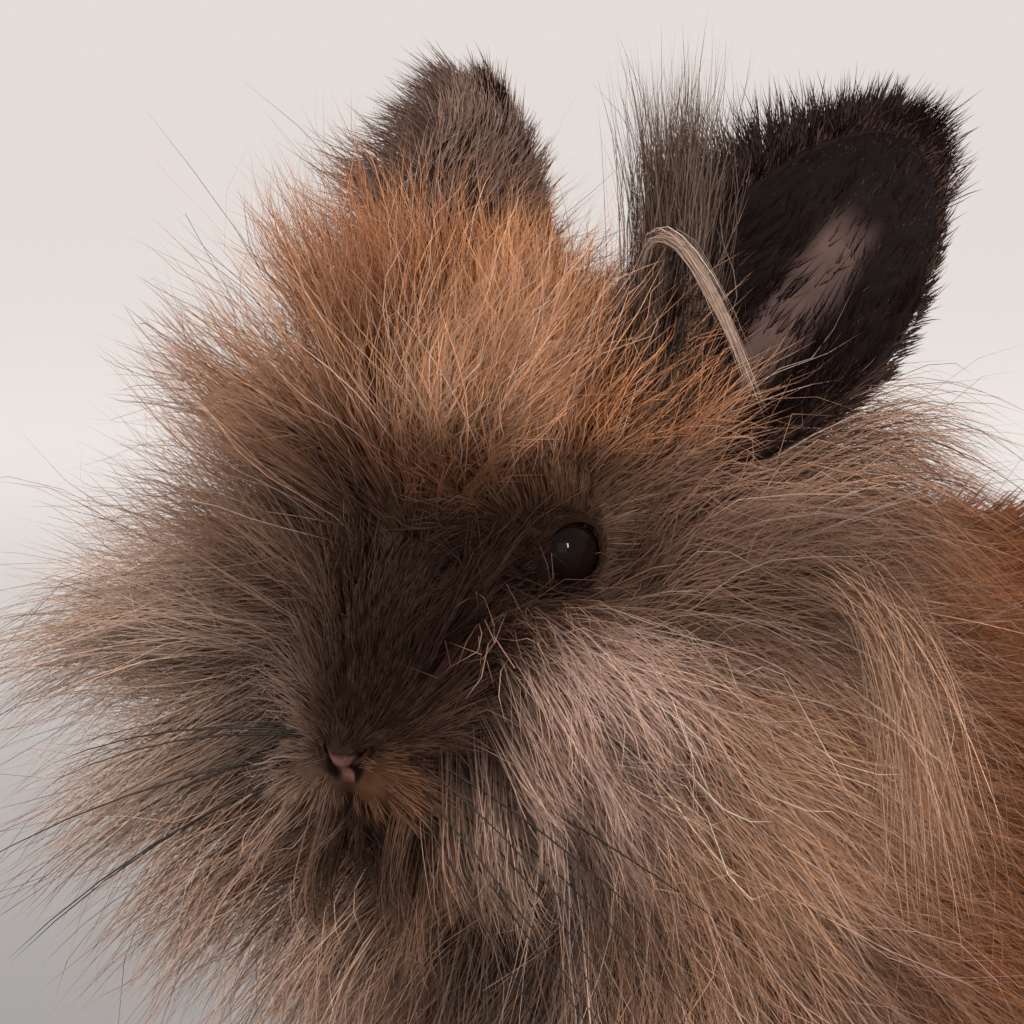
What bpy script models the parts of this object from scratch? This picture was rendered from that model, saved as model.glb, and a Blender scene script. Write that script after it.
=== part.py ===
"""A lionhead rabbit, life size, sitting with its head turned a little to its left and tilted.

Metres, +Z up, and the rabbit faces -Y, so that its left side is at +X. The origin is on the floor,
in the flat of the belly. The head is laid out in its own frame, whose origin is midway between the
eyes, and is then turned and tilted into place.
"""

import math
import random

import bmesh
import bpy
from mathutils import Matrix, Vector
from mathutils.bvhtree import BVHTree

GAP = 0.0003
SEED = 7
UP = Vector((0, 0, 1))
DOWN = Vector((0, 0, -1))
SIDES = {"left": 1, "right": -1}

# The head's place: the point midway between the eyes, and how the head is held
HEAD_AT = Vector((0.0, -0.100, 0.152))
HEAD_TURN = math.radians(8)
HEAD_TILT = math.radians(6)

# Eyes and lids, in the head's frame
EYE_AT = Vector((0.0190, -0.002, 0.0))
EYE_RADIUS = 0.0080
EYE_GAZE = Vector((0.90, -0.42, 0.05)).normalized()
LID_THICKNESS = 0.0015
LID_OPENING = (0.0062, 0.0056)
NOSE_AT = Vector((0.0, -0.0350, -0.0365))
GROOVE_SIZES = ((0.0020, 0.0020, 0.0016), (0.0012, 0.0012, 0.0010))

# Ears, in the head's frame
EAR_ROOT = Vector((0.0150, 0.026, 0.018))
EAR_TIP = {"left": Vector((0.052, 0.055, 0.079)), "right": Vector((-0.041, 0.055, 0.077))}
EAR_FACING = {"left": math.radians(42), "right": math.radians(-112)}
EAR_HALF_WIDTH = 0.0190
EAR_THICKNESS = 0.0026
EAR_CURL = (2.3, 0.55)
EAR_GRID = (8, 11)
FRINGE_ROWS = (2, 3, 4, 5, 6, 7, 9)
FRINGE_LENGTH = 0.019
FRINGE_TIP_LENGTH = 0.010
FRINGE_WIDTH = 0.0088

FUR_BROWN = (0.32, 0.20, 0.12)
SOOTY_BROWN = (0.06, 0.045, 0.04)
BEIGE = (0.50, 0.38, 0.29)
RUST = (0.40, 0.20, 0.09)
EYE_BLACK = (0.01, 0.007, 0.006)

# Rounded forms as (centre, radii, pitch in degrees, nose end down). A form off the middle has a twin.
HEAD_FORMS = (
    ((0, 0.016, 0.004), (0.0240, 0.0300, 0.0245), 0),
    ((0, -0.002, 0.008), (0.0190, 0.0180, 0.0160), 0),
    ((0, -0.012, -0.015), (0.0135, 0.0250, 0.0150), 48),
    ((0.0120, 0.004, -0.020), (0.0165, 0.0210, 0.0215), 0),
    ((0, -0.008, -0.031), (0.0170, 0.0210, 0.0155), 30),
    ((0, -0.0185, -0.0320), (0.0165, 0.0165, 0.0165), 0),
    ((0.0066, -0.0275, -0.0405), (0.0080, 0.0085, 0.0075), 0),
    ((0, -0.022, -0.0495), (0.0085, 0.0095, 0.0058), 0),
    ((0, -0.0335, -0.0350), (0.0056, 0.0046, 0.0042), 40),
    ((0.0172, -0.001, 0.0085), (0.0072, 0.0095, 0.0050), 0),
    ((0.0165, -0.002, 0.0), (0.0095, 0.0110, 0.0105), 0),
)
NECK_FORMS = (((0, -0.062, 0.120), (0.0360, 0.0400, 0.0400), 40),)
TORSO_FORMS = (
    ((0, -0.046, 0.084), (0.0470, 0.0450, 0.0540), 0),
    ((0, 0.008, 0.084), (0.0550, 0.0620, 0.0640), 0),
    ((0, 0.056, 0.085), (0.0590, 0.0600, 0.0660), 0),
    ((0, 0.088, 0.066), (0.0570, 0.0480, 0.0580), 0),
    ((0, 0.012, 0.036), (0.0500, 0.0850, 0.0390), 0),
    ((0.0260, -0.045, 0.072), (0.0250, 0.0340, 0.0440), 0),
)
ARM_FORMS = (((0.0270, -0.074, 0.046), (0.0145, 0.0160, 0.0360), 0),)
PAW_FORMS = (
    ((0.0260, -0.086, 0.0110), (0.0110, 0.0150, 0.0110), 0),
    ((0.0260, -0.076, 0.0180), (0.0110, 0.0110, 0.0140), 0),
)
THIGH_FORMS = (
    ((0.0430, 0.068, 0.056), (0.0310, 0.0480, 0.0440), 0),
    ((0.0480, 0.040, 0.040), (0.0230, 0.0360, 0.0290), 0),
)
FOOT_FORMS = (
    ((0.0500, 0.036, 0.0105), (0.0125, 0.0440, 0.0110), 0),
    ((0.0500, 0.070, 0.0160), (0.0120, 0.0170, 0.0150), 0),
)
TAIL_FORMS = (
    ((0, 0.138, 0.060), (0.0200, 0.0190, 0.0260), -15),
    ((0, 0.145, 0.078), (0.0160, 0.0150, 0.0190), -10),
)
# Each paw's toes, as (first centre, step to the next, radii)
PAW_TOES = ((0.0182, -0.097, 0.0070), (0.0052, 0, 0), (0.0034, 0.0085, 0.0062))
FOOT_TOES = ((0.0410, -0.006, 0.0075), (0.0060, 0, 0), (0.0041, 0.0120, 0.0068))
TOES = 4
SOLE_SINK = 0.0012
CLAW_LENGTH = 0.0080
CLAW_WIDTH = 0.0026

# The dense core of the wool, as above: it reaches less than half way from the skin to the tips
HEAD_WOOL = (
    ((0.0270, 0.018, -0.027), (0.0240, 0.0190, 0.0310), 0),
    ((0, 0.010, 0.017), (0.0250, 0.0180, 0.0210), 0),
    ((0, -0.004, -0.044), (0.0210, 0.0170, 0.0150), 0),
)
NECK_WOOL = (((0, -0.056, 0.118), (0.0450, 0.0260, 0.0420), 20),)

# Wool locks: how many directions are tried round each node, and their sizes
HEAD_TRIES = 185
NECK_TRIES = 72
TORSO_TRIES = 150
LOCK_STEPS = 3
LOCK_SINK = 0.45
LOCK_WIDTHS = (0.85, 1.0, 0.70)
LOCK_THICKNESSES = (0.16, 0.15, 0.10)
LOCK_JITTER = 0.25
LOCK_CURL = 0.45
FLOOR_CLEARANCE = 0.004
GOLDEN_ANGLE = math.pi * (3 - math.sqrt(5))

# Where the face is short haired, in the head's frame: distances from the nose, eyes and ears
NOSE_BARE = 0.032
EYE_BARE = 0.0150
EAR_BARE = 0.0130

# Whiskers: rows and columns on each pad, and their sizes
WHISKER_ROWS = 3
WHISKERS_A_ROW = 3
WHISKER_LENGTH = 0.062
WHISKER_WIDTH = 0.0008


def material(name, colour, roughness=0.9):
    """A plain Principled material."""
    made = bpy.data.materials.new(name)
    made.use_nodes = True
    shader = made.node_tree.nodes["Principled BSDF"]
    shader.inputs["Base Color"].default_value = (*colour, 1)
    shader.inputs["Roughness"].default_value = roughness
    return made


def head_place():
    """The matrix from the head's frame to the model's."""
    turned = Matrix.Rotation(HEAD_TURN, 4, "Z")
    tilted = Matrix.Rotation(HEAD_TILT, 4, "Y")
    return Matrix.Translation(HEAD_AT) @ turned @ tilted


def mesh_object(name, bm, collection):
    """A new object from a bmesh, which is freed."""
    mesh = bpy.data.meshes.new(name)
    bm.to_mesh(mesh)
    bm.free()
    made = bpy.data.objects.new(name, mesh)
    collection.objects.link(made)
    return made


def apply_modifiers(obj):
    """Replaces an object's mesh by what its modifiers make of it."""
    bpy.context.view_layer.update()
    graph = bpy.context.evaluated_depsgraph_get()
    mesh = bpy.data.meshes.new_from_object(obj.evaluated_get(graph))
    obj.modifiers.clear()
    obj.data = mesh


def enclosed(faces):
    """The volume inside a closed set of triangles."""
    return sum(a.co.dot(b.co.cross(c.co)) for a, b, c in (face.verts for face in faces)) / 6


def keep_largest(obj):
    """Drops all but an object's largest closed surface."""
    bm = bmesh.new()
    bm.from_mesh(obj.data)
    bmesh.ops.triangulate(bm, faces=bm.faces[:])
    left = set(bm.faces)
    islands = []
    while left:
        stack = [left.pop()]
        island = set(stack)
        while stack:
            for edge in stack.pop().edges:
                fresh = [face for face in edge.link_faces if face not in island]
                island.update(fresh)
                stack.extend(fresh)
        left -= island
        islands.append(island)
    islands.sort(key=enclosed, reverse=True)
    for island in islands[1:]:
        bmesh.ops.delete(bm, geom=list(island), context="FACES")
    bmesh.ops.delete(bm, geom=[vert for vert in bm.verts if not vert.link_faces], context="VERTS")
    bm.to_mesh(obj.data)
    bm.free()


def combine(obj, pieces, operation):
    """Joins to an object, or cuts from it, all the objects in a list, which are then removed."""
    tools = bpy.data.collections.new("tools")
    bpy.context.scene.collection.children.link(tools)
    for piece in pieces:
        for owner in list(piece.users_collection):
            owner.objects.unlink(piece)
        tools.objects.link(piece)
    boolean = obj.modifiers.new(operation.lower(), "BOOLEAN")
    boolean.operation = operation
    boolean.operand_type = "COLLECTION"
    boolean.collection = tools
    boolean.solver = "MANIFOLD"
    apply_modifiers(obj)
    for piece in pieces:
        bpy.data.objects.remove(piece)
    bpy.data.collections.remove(tools)
    keep_largest(obj)


def ball(bm, centre, radii, pitch=0.0, fineness=3):
    """Adds an ellipsoid to a bmesh."""
    place = Matrix.Translation(centre) @ Matrix.Rotation(math.radians(pitch), 4, "X")
    bmesh.ops.create_icosphere(
        bm, subdivisions=fineness, radius=1, matrix=place @ Matrix.Diagonal((*radii, 1))
    )


def blend(name, forms, collection, voxel, smoothing, triangles, place=None, side=None):
    """Melts rounded forms into one closed surface of about so many triangles.

    A form off the middle gets its twin too, unless side picks one of the two.
    """
    bm = bmesh.new()
    for centre, radii, pitch in forms:
        signs = (1, -1) if centre[0] and side is None else (side or 1,)
        for sign in signs:
            ball(bm, (sign * centre[0], *centre[1:]), radii, pitch)
    if place is not None:
        bm.transform(place)
    made = mesh_object(name, bm, collection)
    remesh = made.modifiers.new("melt", "REMESH")
    remesh.mode = "VOXEL"
    remesh.voxel_size = voxel
    smooth = made.modifiers.new("smooth", "SMOOTH")
    smooth.factor = 0.5
    smooth.iterations = smoothing
    apply_modifiers(made)
    keep_largest(made)
    decimate = made.modifiers.new("thin", "DECIMATE")
    decimate.ratio = min(1.0, triangles / (2 * len(made.data.polygons)))
    apply_modifiers(made)
    return made


def fattened(obj, collection, by):
    """A copy of a closed mesh with its surface moved out along its normals."""
    copy = bpy.data.objects.new(obj.name + "_fat", obj.data.copy())
    collection.objects.link(copy)
    copy.matrix_world = obj.matrix_world
    swell = copy.modifiers.new("swell", "DISPLACE")
    swell.strength = by
    swell.mid_level = 0
    apply_modifiers(copy)
    return copy


def flatten_sole(obj):
    """Cuts an object off level with the floor."""
    bm = bmesh.new()
    bm.from_mesh(obj.data)
    everything = bm.verts[:] + bm.edges[:] + bm.faces[:]
    cut = bmesh.ops.bisect_plane(
        bm, geom=everything, dist=1e-6, plane_co=(0, 0, 0), plane_no=(0, 0, -1), clear_outer=True
    )
    rim = [part for part in cut["geom_cut"] if isinstance(part, bmesh.types.BMEdge)]
    bmesh.ops.holes_fill(bm, edges=rim, sides=0)
    bmesh.ops.triangulate(bm, faces=bm.faces[:])
    bmesh.ops.recalc_face_normals(bm, faces=bm.faces[:])
    bm.to_mesh(obj.data)
    bm.free()


def tapered(path, across, widths, thicknesses):
    """A closed, pointed blade along a path, flat below and ridged above, as a bmesh.

    The last point of the path is the tip, so widths and thicknesses have one value fewer.
    """
    bm = bmesh.new()
    rings = []
    for i, (point, width, thickness) in enumerate(zip(path, widths, thicknesses)):
        along = (path[i + 1] - path[max(i - 1, 0)]).normalized()
        side = (across - along * across.dot(along)).normalized()
        ridge = side.cross(along)
        corners = (side * width / 2, ridge * thickness, -side * width / 2)
        rings.append([bm.verts.new(point + corner) for corner in corners])
    tip = bm.verts.new(path[-1])
    for low, high in zip(rings, rings[1:]):
        for a in range(3):
            b = (a + 1) % 3
            bm.faces.new((low[a], low[b], high[b]))
            bm.faces.new((low[a], high[b], high[a]))
    for a in range(3):
        bm.faces.new((rings[-1][a], rings[-1][(a + 1) % 3], tip))
    bm.faces.new(rings[0][::-1])
    bmesh.ops.recalc_face_normals(bm, faces=bm.faces[:])
    return bm


def claws(first, step, radii, side, scratch):
    """The claws of one foot, one curving down from the end of each toe."""
    made = []
    for toe in range(TOES):
        centre = Vector(first) + toe * Vector(step)
        root = Vector((side * centre.x, centre.y - radii[1] * 0.6, centre.z + radii[2] * 0.35))
        path = [root + Vector((0, -t * CLAW_LENGTH, -t * t * radii[2] * 0.9)) for t in (0, 0.5, 1)]
        widths = (CLAW_WIDTH, CLAW_WIDTH * 0.7)
        made.append(mesh_object("claw", tapered(path, Vector((1, 0, 0)), widths, widths), scratch))
    return made


def foot(name, forms, toes, collection, scratch, side):
    """A paw or hind foot with its toes and claws, flat on the floor."""
    first, step, radii = toes
    toe_forms = tuple(
        (tuple(Vector(first) + toe * Vector(step)), radii, 0) for toe in range(TOES)
    )
    made = blend(name, forms + toe_forms, collection, 0.0010, 3, 420, side=side)
    combine(made, claws(first, step, radii, side, scratch), "UNION")
    return made


def eye_place(side):
    """The matrix that puts +Z along an eye's gaze, at the eye's centre."""
    mirror = Matrix.Diagonal((side, 1, 1, 1))
    centre = head_place() @ mirror @ EYE_AT
    gaze = head_place().to_3x3() @ mirror.to_3x3() @ EYE_GAZE
    return Matrix.Translation(centre) @ gaze.to_track_quat("Z", "Y").to_matrix().to_4x4()


def eyeball(name, side, collection):
    """An eye, whose pole lies along its gaze."""
    bm = bmesh.new()
    bmesh.ops.create_uvsphere(bm, u_segments=14, v_segments=8, radius=EYE_RADIUS)
    bm.transform(eye_place(side))
    return mesh_object(name, bm, collection)


def lids(side, scratch):
    """The swell of the lids round one eye, before their opening is cut."""
    bm = bmesh.new()
    bmesh.ops.create_uvsphere(
        bm, u_segments=16, v_segments=10, radius=EYE_RADIUS + LID_THICKNESS, matrix=eye_place(side)
    )
    return mesh_object("lids", bm, scratch)


def lid_opening(side, scratch):
    """The rounded opening between the lids, as a cutter along the gaze."""
    bm = bmesh.new()
    shape = Matrix.Diagonal((LID_OPENING[0], LID_OPENING[1], EYE_RADIUS * 2, 1))
    bmesh.ops.create_icosphere(
        bm, subdivisions=3, radius=1, matrix=Matrix.Translation((0, 0, EYE_RADIUS * 1.4)) @ shape
    )
    bm.transform(eye_place(side))
    return mesh_object("lid_opening", bm, scratch)


def nostril(side, scratch):
    """One slanting nostril slit, as a cutter."""
    bm = bmesh.new()
    slant = Matrix.Rotation(math.radians(side * 38), 4, "Y")
    shape = Matrix.Diagonal((0.0007, 0.0042, 0.0024, 1))
    centre = NOSE_AT + Vector((side * 0.0030, -0.0020, 0.0008))
    place = head_place() @ Matrix.Translation(centre) @ slant @ shape
    bmesh.ops.create_icosphere(bm, subdivisions=2, radius=1, matrix=place)
    return mesh_object("nostril", bm, scratch)


def surface_tree(obj):
    """A tree for finding points on an object's surface."""
    mesh = obj.data
    corners = [vert.co for vert in mesh.vertices]
    return BVHTree.FromPolygons(corners, [polygon.vertices for polygon in mesh.polygons])


def mouth_groove(head, scratch):
    """The cleft under the nose and the line of the mouth on the head's surface, as cutters."""
    tree = surface_tree(head)
    lines = (
        ((0, -0.0385, -0.0395), (0, -0.0370, -0.0440), (0, -0.0340, -0.0475)),
        ((0, -0.0340, -0.0472), (0.0060, -0.0310, -0.0485), (0.0120, -0.0235, -0.0450)),
        ((0, -0.0340, -0.0472), (-0.0060, -0.0310, -0.0485), (-0.0120, -0.0235, -0.0450)),
    )
    made = []
    for line in lines:
        path = [tree.find_nearest(head_place() @ Vector(point))[0] for point in line]
        path.append(path[-1] + (path[-1] - path[-2]) * 0.3)
        across = tree.find_nearest(path[1])[1].cross(path[-1] - path[0])
        made.append(mesh_object("groove", tapered(path, across, *GROOVE_SIZES), scratch))
    return made


def lock(root, normal, plan, rng, scratch):
    """One wool lock: flat, tapered, sunk into the surface, curling and bending down to its tip.

    plan is its lie along the surface, its length, width, lift from the surface and droop.
    """
    lie, length, width, lift, droop = plan
    vary = [1 + rng.uniform(-LOCK_JITTER, LOCK_JITTER) for _ in range(4)]
    curl = rng.uniform(-LOCK_CURL, LOCK_CURL)
    width *= vary[3]
    ahead = (lie - normal * lie.dot(normal)).normalized()
    path = []
    point = root.copy()
    for step in range(LOCK_STEPS + 1):
        share = step / LOCK_STEPS
        rise = lift * vary[0] * (1 - 0.5 * share)
        swing = Matrix.Rotation(curl * (share - 0.3), 3, normal)
        heading = (swing @ ahead) * math.cos(rise) + normal * math.sin(rise)
        heading = (heading + DOWN * droop * vary[1] * share).normalized()
        if step == 0:
            path.append(root - (heading * 0.4 + normal * 0.6) * width * LOCK_SINK)
            continue
        point = point + heading * length * vary[2] / LOCK_STEPS
        point.z = max(point.z, FLOOR_CLEARANCE)
        path.append(point)
    across = ahead.cross(normal)
    widths = [width * share for share in LOCK_WIDTHS]
    thicknesses = [width * share for share in LOCK_THICKNESSES]
    return mesh_object("lock", tapered(path, across, widths, thicknesses), scratch)


def ear_surface(side_name):
    """The open, cupped surface of an ear as a bmesh, and where its fringe grows.

    The fringe is on the front edge and the tip. Each place on it is a point, the way outward, the
    way into the cup and the wool's length.
    """
    side = SIDES[side_name]
    turned = head_place().to_3x3()
    root = Vector((side * EAR_ROOT.x, *EAR_ROOT.yz))
    axis = EAR_TIP[side_name] - root
    facing = Vector((math.sin(EAR_FACING[side_name]), -math.cos(EAR_FACING[side_name]), 0))
    along = axis.normalized()
    opening = (facing - along * facing.dot(along)).normalized()
    across = along.cross(opening)
    columns, rows = EAR_GRID
    front = 0 if side > 0 else columns
    bm = bmesh.new()
    grid = []
    rim = []
    for j in range(rows + 1):
        v = math.sin(math.pi / 2 * j / rows)
        half = EAR_HALF_WIDTH * math.sqrt(math.sin(math.pi * (0.13 + 0.863 * v)))
        curl = EAR_CURL[0] + (EAR_CURL[1] - EAR_CURL[0]) * min(1.0, v * 2.2)
        middle = root + along * axis.length * v - opening * 0.004 * math.sin(math.pi * v)
        row = []
        for i in range(columns + 1):
            angle = (2 * i / columns - 1) * curl
            offset = across * math.sin(angle) + opening * (1 - math.cos(angle))
            point = head_place() @ (middle + offset * half / curl)
            row.append(bm.verts.new(point))
            inward = opening * math.cos(angle) - across * math.sin(angle)
            outward = (across * math.cos(angle) + opening * math.sin(angle)) * (1 if i else -1)
            if i == front and j in FRINGE_ROWS:
                way = turned @ (outward + along * (0.9 + v))
                rim.append((point, way, turned @ inward, FRINGE_LENGTH))
            elif i % 3 == 1 and j == rows:
                rim.append((point, turned @ along, turned @ inward, FRINGE_TIP_LENGTH))
        grid.append(row)
    for low, high in zip(grid, grid[1:]):
        for i in range(columns):
            bm.faces.new((low[i], low[i + 1], high[i + 1], high[i]))
    return bm, rim


def ear(name, side_name, collection, scratch):
    """A cupped ear of even thickness with a fringe of wool along its rim."""
    surface, rim = ear_surface(side_name)
    made = mesh_object(name, surface, collection)
    thick = made.modifiers.new("thickness", "SOLIDIFY")
    thick.thickness = EAR_THICKNESS
    thick.offset = 0
    apply_modifiers(made)
    rng = random.Random(SEED)
    fringe = []
    for point, outward, inward, length in rim:
        plan = (outward, length, FRINGE_WIDTH, 0.1, 0.0)
        fringe.append(lock(point, inward, plan, rng, scratch))
    combine(made, fringe, "UNION")
    return made


def overlapping(one, other):
    """Whether two objects' boxes meet. Their places are in their meshes."""
    boxes = [[[corner[i] for corner in obj.bound_box] for i in range(3)] for obj in (one, other)]
    return all(min(p) - GAP <= max(q) and min(q) - GAP <= max(p) for p, q in zip(*boxes))


def settle(obj, made, scratch):
    """Cuts an object clear of every node made so far, then adds it to them."""
    bpy.context.view_layer.update()
    near = [other for other in made.values() if overlapping(obj, other)]
    if near:
        cutters = [fattened(other, scratch, by) for other in near for by in (0, GAP)]
        combine(obj, cutters, "DIFFERENCE")
    made[obj.name] = obj


def even_directions(count):
    """Unit vectors spread evenly over a sphere."""
    for k in range(count):
        height = 1 - (2 * k + 1) / count
        reach = math.sqrt(1 - height * height)
        turn = k * GOLDEN_ANGLE
        yield Vector((reach * math.cos(turn), reach * math.sin(turn), height))


def grow_wool(obj, centre, tries, coat, scratch):
    """Sets locks evenly on a node wherever its coat function gives a plan, and joins them to it."""
    rng = random.Random(SEED)
    tree = surface_tree(obj)
    locks = []
    for direction in even_directions(tries):
        root, normal, _, _ = tree.ray_cast(centre, direction)
        plan = root and coat(root, normal)
        if plan:
            locks.append(lock(root, normal, plan, rng, scratch))
    combine(obj, locks, "UNION")


def short_haired(point):
    """Whether a point, in the head's frame, is on the face, by an ear or where the neck joins."""
    beside = Vector((abs(point.x), *point.yz))
    on_face = point.y < -0.004 and abs(point.x) < 0.024 and -0.042 < point.z < 0.006
    return (
        (point - NOSE_AT).length < NOSE_BARE
        or (beside - EYE_AT).length < EYE_BARE
        or (beside - EAR_ROOT).length < EAR_BARE
        or point.y > (0.048 if point.z > -0.004 else 0.031)
        or on_face
    )


def head_coat(root, normal):
    """The lie and size of the wool at a point of the head, or None where the fur is short."""
    place = head_place()
    point = place.inverted() @ root
    if short_haired(point):
        return None
    lie = place.to_3x3() @ (point - NOSE_AT)
    if point.y > 0.031:
        return Vector((root.x * 4, 1.0, -0.5)), 0.038, 0.0150, 0.45, 0.3
    sideways = min(1.0, abs(point.x) / 0.045)
    if point.z > 0.004 and point.y < 0.020:
        return lie, 0.030 + 0.018 * sideways, 0.0135, 0.90, 0.0
    if point.z > 0.015:
        return lie, 0.034, 0.0135, 0.75, 0.0
    if point.z < -0.045 and sideways < 0.5:
        return lie + DOWN * 0.03, 0.029, 0.0120, 0.35, 0.5
    return lie, 0.042 + 0.012 * sideways, 0.0145, 0.70, 0.55


def neck_coat(root, normal):
    """The lie and size of the ruff's wool at a point of the neck."""
    if root.y < -0.058 or root.z < 0.090 and abs(root.x) < 0.030:
        return None
    outward = Vector((root.x, 0.035, 0.4 * (root.z - 0.12)))
    return outward + DOWN * 0.02, 0.045, 0.0165, 0.50, 0.60


def torso_coat(root, normal):
    """The lie and size of the longer wool on the chest and the shoulders."""
    chest = root.y < -0.055 and 0.062 < root.z < 0.105
    shoulder = -0.055 < root.y < -0.020 and root.z > 0.070
    if chest:
        return DOWN + Vector((root.x * 12, -0.2, 0)), 0.032, 0.0150, 0.35, 0.3
    if shoulder:
        return Vector((root.x * 6, 1.0, -12 * abs(root.x))), 0.036, 0.0165, 0.30, 0.25
    return None


def whiskers(side, scratch):
    """The long whiskers of one pad, fanning out and back in rows."""
    made = []
    for row in range(WHISKER_ROWS):
        for column in range(WHISKERS_A_ROW):
            root = Vector((side * (0.0105 + 0.0012 * column), -0.0305 + 0.004 * column, -0.0360 - 0.0035 * row))
            heading = Vector((side, -0.38 + 0.28 * column, 0.12 - 0.30 * row)).normalized()
            length = WHISKER_LENGTH * (0.8 + 0.15 * column)
            path = [root - heading * 0.004, root + heading * length * 0.5]
            path.append(root + heading * length + Vector((0, 0, -0.010)))
            path = [head_place() @ point for point in path]
            sizes = (WHISKER_WIDTH, WHISKER_WIDTH * 0.8)
            made.append(mesh_object("whisker", tapered(path, UP, sizes, sizes), scratch))
    return made


def head_node(collection, scratch):
    """The head with its lids, nostrils and mouth, its wool and its whiskers."""
    head = blend("head", HEAD_FORMS + HEAD_WOOL, collection, 0.0012, 4, 2000, head_place())
    grow_wool(head, head_place() @ Vector((0, 0.008, -0.012)), HEAD_TRIES, head_coat, scratch)
    details = mouth_groove(head, scratch)
    additions = []
    for side in SIDES.values():
        additions += whiskers(side, scratch)
        additions.append(lids(side, scratch))
        details.append(lid_opening(side, scratch))
        details.append(nostril(side, scratch))
    combine(head, additions, "UNION")
    combine(head, details, "DIFFERENCE")
    return head


def sunk(forms):
    """The same forms, a little lower, so that the floor cuts a flat sole from them."""
    return tuple(((x, y, z - SOLE_SINK), radii, pitch) for (x, y, z), radii, pitch in forms)


def build():
    """Makes every node, each cut clear of those before it."""
    for old in list(bpy.data.objects):
        bpy.data.objects.remove(old)
    nodes = bpy.data.collections.new("lionhead_rabbit")
    bpy.context.scene.collection.children.link(nodes)
    scratch = bpy.data.collections.new("scratch")
    bpy.context.scene.collection.children.link(scratch)

    made = {}
    for side_name, side in SIDES.items():
        settle(eyeball("eye_" + side_name, side, nodes), made, scratch)
    torso = blend("torso", TORSO_FORMS, nodes, 0.0030, 16, 1600)
    grow_wool(torso, Vector((0, 0.000, 0.080)), TORSO_TRIES, torso_coat, scratch)
    flatten_sole(torso)
    settle(torso, made, scratch)
    neck = blend("neck", NECK_FORMS + NECK_WOOL, nodes, 0.0025, 4, 600)
    grow_wool(neck, Vector((0, -0.060, 0.118)), NECK_TRIES, neck_coat, scratch)
    settle(neck, made, scratch)
    settle(head_node(nodes, scratch), made, scratch)
    for side_name in SIDES:
        settle(ear("ear_" + side_name, side_name, nodes, scratch), made, scratch)
    for side_name, side in SIDES.items():
        for kind, forms, toes in (("paw", PAW_FORMS, PAW_TOES), ("foot", FOOT_FORMS, FOOT_TOES)):
            extremity = foot(f"{kind}_{side_name}", sunk(forms), toes, nodes, scratch, side)
            flatten_sole(extremity)
            settle(extremity, made, scratch)
        arm = blend("arm_" + side_name, ARM_FORMS, nodes, 0.0015, 3, 260, side=side)
        settle(arm, made, scratch)
        thigh = blend("thigh_" + side_name, THIGH_FORMS, nodes, 0.0025, 4, 420, side=side)
        settle(thigh, made, scratch)
    settle(blend("tail", TAIL_FORMS, nodes, 0.0020, 4, 300), made, scratch)
    bpy.data.collections.remove(scratch)

    colours = {
        "head": material("brown_fur", FUR_BROWN),
        "ear": material("sooty_fur", SOOTY_BROWN),
        "eye": material("eye", EYE_BLACK, 0.05),
        "neck": material("beige_fur", BEIGE),
        "torso": material("rust_fur", RUST),
    }
    for name, obj in made.items():
        obj.data.materials.clear()
        obj.data.materials.append(colours.get(name.split("_")[0], colours["torso"]))
        obj.data.shade_smooth()


build()
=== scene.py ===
"""The lionhead rabbit's skin, wool, short fur, ears, eyes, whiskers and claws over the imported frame.

Metres, in the frame's own axes: +Z up, the rabbit faces -Y and its left side is at +X. The head is
laid out in its own frame, midway between the eyes, and then turned and tilted into place, with the
same sizes as the solids.
"""

import math

import bmesh
import bpy
import numpy as np
from mathutils import Matrix, Vector


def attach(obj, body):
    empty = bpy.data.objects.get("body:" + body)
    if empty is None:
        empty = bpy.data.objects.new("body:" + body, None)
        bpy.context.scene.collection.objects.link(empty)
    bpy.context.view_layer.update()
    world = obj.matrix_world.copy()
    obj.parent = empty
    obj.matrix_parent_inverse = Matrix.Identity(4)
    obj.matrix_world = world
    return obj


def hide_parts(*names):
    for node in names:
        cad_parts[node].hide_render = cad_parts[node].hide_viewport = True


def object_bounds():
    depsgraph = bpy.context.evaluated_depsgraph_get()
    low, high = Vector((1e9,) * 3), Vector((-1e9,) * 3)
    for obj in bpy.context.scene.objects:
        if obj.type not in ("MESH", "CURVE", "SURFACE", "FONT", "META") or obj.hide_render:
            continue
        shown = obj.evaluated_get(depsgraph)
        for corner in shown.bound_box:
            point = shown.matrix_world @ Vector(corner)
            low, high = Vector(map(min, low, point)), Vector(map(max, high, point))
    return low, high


UP = Vector((0, 0, 1))
SIDES = {"left": 1, "right": -1}
SEED = 11

# The head's place and features, as in the solids
HEAD_AT = Vector((0.0, -0.1, 0.152))
HEAD_TURN = math.radians(8)
HEAD_TILT = math.radians(6)
EYE_AT = Vector((0.019, -0.002, 0.0))
EYE_RADIUS = 0.008
EYE_GAZE = Vector((0.9, -0.42, 0.05)).normalized()
EYE_FRONT = Vector((0.55, -0.83, 0.05)).normalized()
LID_THICKNESS = 0.0012
LID_OPENING = (0.0067, 0.0059)
# How far from the line of its gaze an eye is bare, and how far its lids' dense fur reaches
BARE_EYE = 0.0064
LID_REACH = 0.01
NOSE_AT = Vector((0.0, -0.035, -0.0365))
HEAD_CENTRE = (0, -0.006, -0.014)
# Each ear: root, tip, the way it opens, half its width and how far it curls at its root and tip
EARS = {
    "left": (Vector((0.026, 0.03, 0.018)), Vector((0.055, 0.05, 0.075)), math.radians(30),
             0.0215, (1.7, 0.6)),
    "right": (Vector((-0.014, 0.028, 0.018)), Vector((-0.034, 0.055, 0.072)), math.radians(-120),
              0.017, (2.3, 0.7)),
}
EAR_THICKNESS = 0.0018
EAR_GRID = (28, 40)
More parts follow.
